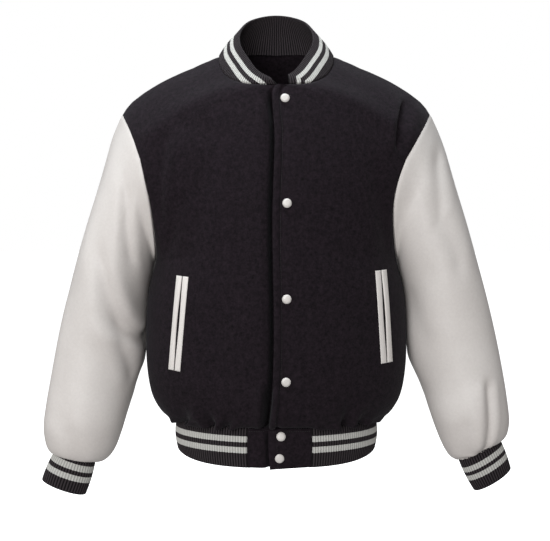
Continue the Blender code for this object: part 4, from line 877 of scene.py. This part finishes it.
# The collar's upper edge, from the middle of the back round one side to the front.
RIM = table(
    "share  x       y       z",
    (0.00,  0.0000,  0.0560,  0.0860),
    (0.14,  0.0270,  0.0500,  0.0820),
    (0.28,  0.0490,  0.0310,  0.0700),
    (0.42,  0.0610,  0.0020,  0.0480),
    (0.56,  0.0600, -0.0300,  0.0210),
    (0.72,  0.0450, -0.0620, -0.0080),
    (0.86,  0.0290, -0.0880, -0.0320),
    (1.00,  0.0080, -0.1040, -0.0465))
# The cuffs' open ends, as a sleeve section each.
CUFF_END = {+1: dict(out_x=0.3900, out_z=-0.6870, in_x=0.3310, in_z=-0.7235, half=0.026, mid_y=-0.034),
            -1: dict(out_x=0.3915, out_z=-0.7075, in_x=0.3205, in_z=-0.7325, half=0.026, mid_y=-0.026)}
# How deep a rib piece's foot lies behind the cloth that it is sewn to, by height over the seam.
TUCK = table(
    "height   depth",
    (-0.0040, 0.0034),
    (-0.0022, 0.0032),
    (-0.0008, 0.0024),
    (0.0002,  0.0010),
    (0.0012,  0.0004),
    (0.0030,  0.0000))
# Where the two pale stripes start and end: from the collar's upper edge, the band's seam and a
# cuff's open end.
STRIPES = {"collar": (0.0122, 0.0190, 0.0260, 0.0338),
           "waistband": (0.0132, 0.0226, 0.0304, 0.0400),
           "cuff_left": (0.0200, 0.0285, 0.0345, 0.0433),
           "cuff_right": (0.0215, 0.0312, 0.0385, 0.0492)}


def knit_rib(name, dark, pale, stripes):
    """Rib knit: rows of small V stitches up each rib, pale stripes by the height, and painted shade
    that darkens the grooves.  The cloth map counts ribs along and metres up."""
    made, tree, shader = new_material(name, {"Roughness": 0.90, "Sheen Weight": 0.05,
                                             "Specular IOR Level": 0.15})
    place = node(tree, "ShaderNodeUVMap", uv_map="cloth").outputs["UV"]
    count, up, _ = node(tree, "ShaderNodeSeparateXYZ", {0: place}).outputs
    off = calc(tree, "ABSOLUTE", calc(tree, "SUBTRACT", calc(tree, "FRACT", count), 0.5))
    drift = calc(tree, "MULTIPLY", noise(tree, place, 0.9, 2.0), 0.0010)
    height = calc(tree, "ADD", up, drift)
    bands = [calc(tree, "MULTIPLY", ramp(tree, height, low, low + STRIPE_EDGE),
                  ramp(tree, height, high + STRIPE_EDGE, high)) for low, high in (stripes[:2], stripes[2:])]
    striped = calc(tree, "MAXIMUM", *bands)
    colour = node(tree, "ShaderNodeMix", {0: striped, 6: dark, 7: pale}, data_type="RGBA")
    # Painted shade: the colour is darkened in the grooves between the ribs, where the recess is in shadow.
    groove = ramp(tree, off, 0.12, 0.40, 1.0, ramp(tree, striped, 0, 1, *GROOVE_PAINTED_SHADE))
    shade = node(tree, "ShaderNodeMix", {0: 1.0, 6: colour.outputs[2], 7: groove}, data_type="RGBA",
                 blend_type="MULTIPLY")
    tree.links.new(shade.outputs[2], shader.inputs["Base Color"])
    phase = calc(tree, "ADD", calc(tree, "MULTIPLY", height, 2 * math.pi / KNIT_STITCH),
                 calc(tree, "MULTIPLY", off, KNIT_SLANT))
    roughen(tree, shader, calc(tree, "SINE", phase), 0.5, 0.00028)
    return made


def even_along(line, count, closed=False):
    """A line's rows, evenly spaced along its first three columns."""
    whole = np.concatenate([line, line[:1]]) if closed else line
    run = run_along(whole[:, :3])
    at = np.linspace(0, run[-1], count + 1)
    made = np.stack([np.interp(at, run, whole[:, k]) for k in range(whole.shape[1])], axis=-1)
    return made[:-1] if closed else made


def add_rib(name, foot, surface, outward, from_free=True, closed=False, hidden=0):
    """A rib-knit wall: the form above the foot line, ribs raised on both faces, and a rounded
    free edge where the knit is folded double.  Its foot, and a hidden length of both its ends,
    lie behind what they are sewn to.  Its stripes go by the distance from its free edges, or by
    the height over its foot."""
    ribs = int(round(run_along(foot[:, :3])[-1] / RIB_PITCH))
    line = even_along(foot, ribs * RIB_COLUMNS, closed)
    high = surface(line, np.ones(len(line)))
    mean_height = np.linalg.norm(high - line[:, :3], axis=1).mean()
    fold = RIB / 2 + RIB_HEIGHT * 0.6
    bend = 1 - fold / mean_height * (1 - np.sin(np.linspace(0, math.pi / 2, 5)))
    tucked = np.array(TUCK["height"]) / mean_height
    steps = np.concatenate([tucked, np.linspace(tucked[-1] + 0.02, bend[0], 18, endpoint=False), bend])
    form = np.stack([surface(line, np.full(len(line), v)) for v in steps])
    normal = grid_normals(form, closed, outward(form))
    turn = np.arange(line.shape[0]) / RIB_COLUMNS
    ridge = RIB_HEIGHT * (1 - np.abs(np.cos(math.pi * turn))**3)
    rounding = np.clip((steps - bend[0]) / (1 - bend[0]), 0, 1)
    full = np.sqrt(np.maximum(1 - rounding**2, 0))[:, None]
    sunk = np.interp(steps * mean_height, TUCK["height"], TUCK["depth"])[:, None]
    if hidden:
        run = np.arange(len(line)) / RIB_COLUMNS * RIB_PITCH - hidden
        from_end = np.minimum(run, run[::-1])
        sunk = np.maximum(sunk, np.interp(from_end, TUCK["height"], TUCK["depth"])[None])
    outer = form + normal * ((ridge * full - RIB / 2 * (1 - full)) - sunk)[..., None]
    inner = form - normal * (RIB * full + RIB / 2 * (1 - full) + 0.5 * ridge * full)[..., None]
    if from_free:
        free = form[-1] if closed else np.concatenate([form[-1], form[:, 0], form[:, -1]])
        up = np.stack([np.linalg.norm(row[:, None] - free[None], axis=2).min(axis=1) for row in form])
    else:
        up = np.cumsum(np.linalg.norm(np.diff(form, axis=0, prepend=form[:1]), axis=2), axis=0)
        up += TUCK["height"][0]
    up = np.concatenate([up, up[:, :1]], axis=1) if closed else up
    count = np.broadcast_to(np.arange(up.shape[1]) / RIB_COLUMNS, up.shape)
    knit = knit_rib(name + " rib", (0.0400, 0.0320, 0.0360, 1), (0.600, 0.592, 0.562, 1), STRIPES[name])
    piece = add_wall(name + "_knit", outer, inner, np.stack([count, up], -1), knit, wrap=closed,
                     lining=PLAIN_SIDE)
    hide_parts(name)
    return piece, form


def rim_point(signed):
    """The collar's upper edge, by signed share of the neck seam: -1 right front, +1 left."""
    knots = np.concatenate([-RIM["share"][:0:-1], RIM["share"]])
    columns = {name: np.concatenate([RIM[name][:0:-1], RIM[name]]) for name in "xyz"}
    columns["x"][:len(knots) // 2] *= -1
    return np.stack([smooth(knots, columns[name], signed) for name in "xyz"], axis=-1)


# The neck seam from the right front round the back to the left front.
front_t = np.linspace(FRONT_NECK, SHOULDER, 120)
back_t = np.linspace(BACK_NECK, SHOULDER, 120)
neck_parts = []
for side in (-1, +1):
    ahead = body_point(-1, side, front_t, np.zeros(120))
    behind = body_point(+1, side, back_t, np.zeros(120))[::-1]
    run = np.concatenate([ahead, behind[1:]])
    neck_parts.append(run if side < 0 else run[::-1])
neck = np.concatenate([neck_parts[0], neck_parts[1][1:]])
shares = run_along(neck) / run_along(neck)[-1]
towards_rim = unit(rim_point(2 * shares - 1) - neck)
raised = np.column_stack([neck + towards_rim * SEAM_GAP, shares])
raised = raised[~((neck[:, 1] < -0.08) & (shares > 0.5) & (neck[:, 0] < COLLAR_LAP_END))]


def collar_surface(line, v):
    """Between the neck seam and the rim, with a slight swell outwards."""
    foot, share = line[:, :3], line[:, 3]
    rim = rim_point(2 * share - 1)
    out = unit(np.cross(np.gradient(foot, axis=0), rim - foot))
    out *= np.sign((out * unit(foot - (0, 0.0, -0.02))).sum(-1).mean())
    return foot + (rim - foot) * v[:, None] + out * (COLLAR_BULGE * np.sin(math.pi * v))[:, None]


piece, form = add_rib("collar", raised, collar_surface, lambda grid: grid - (0, -0.02, 0.02))


def band_point(seam, v):
    """The waistband's form under a point of its seam: down, with a slight swell and draw-in."""
    front = smoothstep(-0.02, 0.11, -seam[..., 1])
    height = BAND_SIDE + (BAND_FRONT - BAND_SIDE) * front
    grow = 1 - BAND_DRAW_IN * v**2
    out = unit(seam * (1, 1.4, 0))
    low = seam * np.stack([grow, grow, np.ones_like(grow)], axis=-1)
    low[..., 2] -= height * v
    return low + out * (BAND_BULGE * np.sin(math.pi * v))[..., None]


hem_left, hem_right = (np.linspace(TAB_END[side] - BAND_HIDDEN / FRONT["end_x"][0], 1, 160)
                       for side in (+1, -1))
hem_parts = [body_point(-1, -1, np.zeros(160), hem_right),
             body_point(+1, -1, np.zeros(200), np.linspace(1, 0, 200))[1:],
             body_point(+1, +1, np.zeros(200), np.linspace(0, 1, 200))[1:],
             body_point(-1, +1, np.zeros(160), hem_left[::-1])[1:]]
hem = np.concatenate(hem_parts)
hem[:, 2] -= SEAM_GAP
piece, form = add_rib("waistband", hem, band_point, lambda grid: grid * (1, 1, 0), from_free=False,
                      hidden=BAND_HIDDEN)

for side, name in ((+1, "cuff_left"), (-1, "cuff_right")):
    around = np.linspace(0, 2 * math.pi, 360, endpoint=False)
    last = {column: values[-1:] for column, values in SLEEVES[side].items()}
    open_end = {column: np.array([value]) for column, value in CUFF_END[side].items()}
    top = section_ring(last, around[None])[0] * (side, 1, 1)
    bottom = section_ring(open_end, around[None])[0] * (side, 1, 1)
    top += unit(bottom - top) * SEAM_GAP
    line = np.column_stack([top, bottom])

    def cuff_surface(at, v):
        """Between the sleeve's end and the open end, with a slight belly."""
        middle = at[:, :3] + (at[:, 3:] - at[:, :3]) * v[:, None]
        out = unit(middle - middle.mean(axis=0))
        return middle + out * (CUFF_BELLY * np.sin(math.pi * v))[:, None]

    piece, form = add_rib(name, line, cuff_surface,
                          lambda grid: grid - grid.mean(axis=1, keepdims=True), closed=True)


# ---------------------------------------------------------------- tabs
# Two plain pieces of the body's wool, folded double, that end the waistband in front: the left
# one lies over the right one and carries two snaps.  Each is sewn to its front's hem and
# topstitched near its upper seam.
TAB_THICK = 0.0032
TAB_DIP = (0.0020, 0.0012)  # width and depth of the dip along a border, and of a row of stitches
STITCH_DIP = (0.0011, 0.0006)
TAB_RIGHT_END = 0.026       # x where the under tab ends, behind the over tab
TAB_STITCH = 0.0045         # from a tab's seam to the stitches under it
TAB_GROOVE = 0.0070         # how deep the under tab dips under the over tab's edge
TAB_DROP = 0.0028           # how much lower the over tab's free corner hangs


def tab_form(side, across, v):
    """A tab's points: the band's form under the hem, its free edge drawn to the lap's line."""
    edge = LAP_EDGE["x"][1] if side > 0 else -TAB_RIGHT_END
    width = FRONT["end_x"][0]
    share = edge / width + (TAB_END[side] - edge / width) * across
    seam = body_point(-1, side, np.zeros(share.shape), share)
    point = band_point(seam, v)
    point[..., 2] += (FRONT["mid_z"][0] - seam[..., 2]) * v
    lap = lap_x(point[..., 2])
    if side > 0:
        point[..., 0] += (lap - edge) * (1 - across)**2
        point[..., 2] -= TAB_DROP * v * (1 - across)**2
    else:
        point[..., 1] += TAB_GROOVE * np.exp(-((point[..., 0] - lap) / 0.0040)**2) * smoothstep(0, 0.3, v)
    return point


for side, name in ((+1, "tab_left"), (-1, "tab_right")):
    close = np.array([0, 0.012, 0.026, 0.045, 0.07])
    across = np.concatenate([close, np.linspace(0.1, 0.9, 36), 1 - close[::-1]])
    down = np.concatenate([close, np.linspace(0.1, 0.9, 32), 1 - close[::-1]])
    down_grid, across_grid = np.meshgrid(down, across, indexing="ij")
    form = tab_form(side, across_grid, down_grid)
    form[:, -1] += unit(form[:, -2] - form[:, -1]) * SEAM_GAP
    form[0] += unit(form[1] - form[0]) * SEAM_GAP
    normal = grid_normals(form, False, np.array([0, -1.0, 0]))
    border = np.concatenate([form[0], form[-1], form[:, 0], form[:, -1]])
    dip = roll_in(form, border, *TAB_DIP)
    below_seam = np.linalg.norm(form - form[:1], axis=-1)
    rows = [below_seam - TAB_STITCH]
    if side > 0:
        rows.append(form[..., 0] - form[:, :1, 0] - PLACKET_STITCH)
    for off in rows:
        dip += STITCH_DIP[1] * np.exp(-(off / STITCH_DIP[0])**2)
    piece = add_wall(name + "_cloth", form - normal * dip[..., None], form - normal * TAB_THICK,
                     cloth_uv(form), black_wool)
    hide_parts(name)


# ---------------------------------------------------------------- pocket welts
# Each slanted front pocket opens between two narrow strips of the sleeves' leather, folded over
# and stitched down along their outer edges.
WELT_WIDTH = 0.0095
WELT_SLIT = 0.0014
WELT_THICK = 0.0019
WELT_LIFT = 0.0004
WELT_STITCH = 0.0017        # from a strip's outer edge to its row of stitches
WELT_EDGE = 0.0012          # width over which a strip's borders are rounded off
WELT_DIP = (0.0006, 0.0004)           # width and depth of the dip along its stitches
WELT_GAPE = 0.0014          # how much wider the slit stands open at its middle
POCKET_LONG = 0.152
STEP = 1e-3                 # of a surface's parameters, for its slopes
POCKETS = table(
    "side  x0      z0      x1      z1",
    (-1,   0.150,  -0.364,  0.1640, -0.516),
    (+1,   0.1690, -0.355,  0.1790, -0.505))


def settle_on(surface, u, v, x, z, low, high):
    """The point of a surface at x and z, and its normal on the front: its two parameters are
    found by Newton steps from a first guess, and held between low and high."""
    for _ in range(12):
        here = surface(u, v)
        by_u = (surface(u + STEP, v) - here) / STEP
        by_v = (surface(u, v + STEP) - here) / STEP
        miss_x, miss_z = x - here[..., 0], z - here[..., 2]
        det = by_u[..., 0] * by_v[..., 2] - by_u[..., 2] * by_v[..., 0]
        u = np.clip(u + (miss_x * by_v[..., 2] - miss_z * by_v[..., 0]) / det, low[0], high[0])
        v = np.clip(v + (by_u[..., 0] * miss_z - by_u[..., 2] * miss_x) / det, low[1], high[1])
    here = surface(u, v)
    normal = unit(np.cross(surface(u + STEP, v) - here, surface(u, v + STEP) - here))
    return here, normal * -np.sign(normal[..., 1:2])


def on_front(side, x, z):
    """The point of a front at x and z, and its outward normal."""
    t = np.linspace(0, FRONT_NECK, 400)
    height = section_point(-1, t, np.full(400, 0.3))[:, 2]
    return settle_on(lambda u, v: body_point(-1, side, u, v), np.interp(z, height, t), side * x / 0.21,
                     x, z, (0.01, -0.2), (FRONT_NECK, 1))


def on_pocket(pocket, along, offset):
    """The point of a front at a part of a pocket's length and an offset outwards from its slit."""
    side, x0, z0, x1, z1 = pocket
    way = unit(np.array([x1 - x0, z1 - z0]))
    x = x0 + (x1 - x0) * along - way[1] * offset
    return on_front(side, x * side, z0 + (z1 - z0) * along + way[0] * offset)


# The sleeves' leather in lighter tones: painted light, so the welts show brighter than the sleeves.
welt_leather_painted_lighter = soft_leather("welt leather painted lighter", (0.700, 0.660, 0.630, 1), (0.780, 0.740, 0.710, 1))
near = WELT_SLIT / 2
far = near + WELT_WIDTH
close = np.array([0, 0.004, 0.010, 0.018])
along, across = np.meshgrid(
    np.concatenate([close, np.linspace(0.03, 0.97, 90), 1 - close[::-1]]),
    (0, 0.05, 0.12, 0.22, 0.35, 0.5, 0.65, 0.78, 0.88, 0.95, 1.0), indexing="ij")
for pocket in zip(*POCKETS.values()):
    for strip, low, high, sign in (("inner", -far, -near, -1), ("outer", near, far, 1)):
        offset = low + (high - low) * across
        offset += sign * WELT_GAPE * np.sin(math.pi * along)**2 * (1 - np.abs(offset) / far)
        place, normal = on_pocket(pocket, along, offset)
        at_slit = np.clip(1 - np.abs(offset) / far, 0, 1)
        swell = WELT_THICK * (0.55 + 0.45 * np.sin(math.pi * at_slit)**0.7)
        for inwards in (np.minimum(across, 1 - across) * WELT_WIDTH,
                        np.minimum(along, 1 - along) * POCKET_LONG):
            swell *= np.sqrt(np.clip(inwards / WELT_EDGE, 0.05, 1))
        swell -= WELT_DIP[1] * np.exp(-((at_slit - 0.17) * far / WELT_DIP[0])**2)
        under = place + normal * WELT_LIFT
        over = under + normal * np.maximum(swell, 0.0003)[..., None]
        name = f"welt_{'left' if pocket[0] > 0 else 'right'}_{strip}"
        piece = add_wall(name + "_leather", over, under, cloth_uv(under), welt_leather_painted_lighter)
        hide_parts(name)


# ---------------------------------------------------------------- snaps
# Six press snaps: domed brass caps, enamelled to match the sleeves, each with a rolled edge.
SNAP_RADIUS = 0.0073
SNAP_HEIGHT = 0.0030
SNAP_LIFT = 0.0003          # of the cap's rim over the cloth
SNAP_WALL = 0.0002
SNAP_INNER = 0.985          # size of the cap's inner face, as a part of the outer one's
SNAP_FLAT = 0.97            # how much the inner face is flattened towards the cloth
SNAPS = table(
    "x        z",
    (0.0140, -0.080),
    (0.0168, -0.248),
    (0.0163, -0.398),
    (0.0153, -0.528),
    (0.0075, -0.6178),
    (0.0052, -0.6525))
# A cap's section from its rim to its middle: radius and height as parts of the cap's own.
CAP = table(
    "radius height",
    (0.90,  0.00),
    (0.985, 0.06),
    (1.00,  0.17),
    (0.985, 0.27),
    (0.945, 0.36),
    (0.905, 0.40),
    (0.875, 0.54),
    (0.80,  0.78),
    (0.66,  0.91),
    (0.48,  0.97),
    (0.28,  0.99),
    (0.10,  1.00),
    (0.012, 1.00))

snap_enamel = mottled("snap enamel", (0.64, 0.605, 0.575, 1), (0.71, 0.675, 0.645, 1), 90.0, 700.0,
                      {"Roughness": 0.32, "Coat Weight": 0.3, "Coat Roughness": 0.15})[0]


def on_tab(x, z):
    """The point of the left tab at x and z, and its outward normal."""
    return settle_on(lambda u, v: tab_form(+1, u, v), np.full(np.shape(x), 0.3),
                     (FRONT["mid_z"][0] - z) / BAND_FRONT, x, z, (0, 0), (1, 1))


around = np.linspace(0, 2 * math.pi, 48, endpoint=False)[:, None]
for number, at in enumerate(zip(SNAPS["x"][:, None], SNAPS["z"][:, None]), start=1):
    seat, out = (found[0] for found in (on_front(+1, *at) if number <= 4 else on_tab(*at)))
    right = unit(np.cross((0, 0, 1.0), out))
    ring = np.cos(around) * right + np.sin(around) * np.cross(out, right)
    base = seat + out * SNAP_LIFT
    cap = (base + ring[None] * (SNAP_RADIUS * CAP["radius"])[:, None, None]
           + out * (SNAP_HEIGHT * CAP["height"])[:, None, None])
    hollow = base + (cap - out * SNAP_WALL - base) * SNAP_INNER
    hollow -= out * ((hollow - seat) @ out - SNAP_LIFT * 0.98)[..., None] * SNAP_FLAT
    name = f"snap_{number}"
    piece = add_wall(name + "_cap", cap, hollow, cloth_uv(cap, wrap=True), snap_enamel,
                     wrap=True)
    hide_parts(name)


# ---------------------------------------------------------------- topstitching
# Thread in short lockstitches: a row down the over front behind its folded edge, carried on down
# the left tab, a row under each tab's seam, and a pale row along each welt strip's outer edge.
STITCH_LONG = 0.0027
STITCH_GAP = 0.0008
THREAD = 0.00032            # radius
PLACKET_SUNK = 0.0027       # how deep the rows lie under the cloth's plain form
TAB_SUNK = 0.0003
WELT_RAISED = 0.0009        # how high the pale rows lie over a welt's under side
# One stitch from end to end: place along it, and radius and rise as parts of the thread's.
STITCH = table(
    "along  round  rise",
    (-0.50,  0.45, -0.60),
    (-0.36,  0.90,  0.10),
    (0.00,   1.00,  0.45),
    (0.36,   0.90,  0.10),
    (0.50,   0.45, -0.60))
STITCH_SIDES = 4


def add_stitches(name, path, normal, finish):
    """A row of stitches along a path: short capsules of square rings, closed by their end rings."""
    count = int(run_along(path)[-1] / (STITCH_LONG + STITCH_GAP))
    rows = even_along(np.column_stack([path, normal]), 2 * count)[1::2]
    middle, out = rows[:, :3], unit(rows[:, 3:])
    ahead = unit(np.gradient(middle, axis=0))
    across = unit(np.cross(ahead, out))
    turn = (np.arange(STITCH_SIDES) + 0.5) * 2 * math.pi / STITCH_SIDES
    ring = (np.cos(turn)[:, None] * across[:, None, None] + np.sin(turn)[:, None] * out[:, None, None])
    along = STITCH["along"][:, None, None] * STITCH_LONG * ahead[:, None, None]
    lift = STITCH["rise"][:, None, None] * THREAD * out[:, None, None]
    points = middle[:, None, None] + along + lift + ring * STITCH["round"][:, None, None] * THREAD
    rings = len(STITCH["along"])
    start = np.arange(count)[:, None, None] * rings * STITCH_SIDES
    i, j = np.meshgrid(np.arange(rings - 1), np.arange(STITCH_SIDES), indexing="ij")
    k = (j + 1) % STITCH_SIDES
    one = np.stack([i * STITCH_SIDES + j, i * STITCH_SIDES + k, (i + 1) * STITCH_SIDES + k,
                    (i + 1) * STITCH_SIDES + j], -1).reshape(-1, 4)
    ends = np.array([[3, 2, 1, 0], np.arange(4) + (rings - 1) * STITCH_SIDES])
    quads = (start + np.concatenate([one, ends])[None]).reshape(-1, 4)
    return add_mesh(name, points.reshape(-1, 3), quads, np.zeros((quads.size, 2)), finish)


def spun_thread(name, colour):
    """Sewing thread: a slight twist of its plies."""
    made, tree, shader = new_material(name, {"Roughness": 0.52, "Base Color": colour})
    ply = node(tree, "ShaderNodeTexWave", {"Vector": object_place(tree), "Scale": 900.0, "Distortion": 1.0})
    roughen(tree, shader, ply.outputs["Fac"], 0.3, 0.0001)
    return made


black_thread = spun_thread("black thread", (0.006, 0.005, 0.006, 1))
pale_thread = spun_thread("pale thread", (0.50, 0.47, 0.44, 1))

t = np.linspace(0.35, FRONT_NECK - 0.25, 400)
x = lap_x(section_point(-1, t, 0 * t)[:, 2]) + PLACKET_STITCH
path, normal = on_front(+1, x, body_point(-1, +1, t, x / 0.2)[:, 2])
add_stitches("placket_stitches", path - normal * PLACKET_SUNK, normal, black_thread)

for name, side, across, down in (
        ("tab_left_seam", +1, np.linspace(0.03, 0.97, 80), np.full(80, TAB_STITCH / BAND_FRONT)),
        ("tab_right_seam", -1, np.linspace(0.42, 0.97, 60), np.full(60, TAB_STITCH / BAND_FRONT)),
        ("tab_left_edge", +1, np.linspace(0.1985, 0.1859, 60), np.linspace(0.10, 0.94, 60))):
    normal = np.tile((0, -1.0, 0), (len(down), 1))
    add_stitches(name + "_stitches", tab_form(side, across, down) - normal * TAB_SUNK, normal,
                 black_thread)

for pocket in zip(*POCKETS.values()):
    for strip, sign in (("inner", -1), ("outer", +1)):
        path, normal = on_pocket(pocket, np.linspace(0.012, 0.988, 200), sign * (far - WELT_STITCH))
        add_stitches(f"welt_{'left' if pocket[0] > 0 else 'right'}_{strip}_stitches",
                     path + normal * (WELT_LIFT + WELT_RAISED), normal, pale_thread)
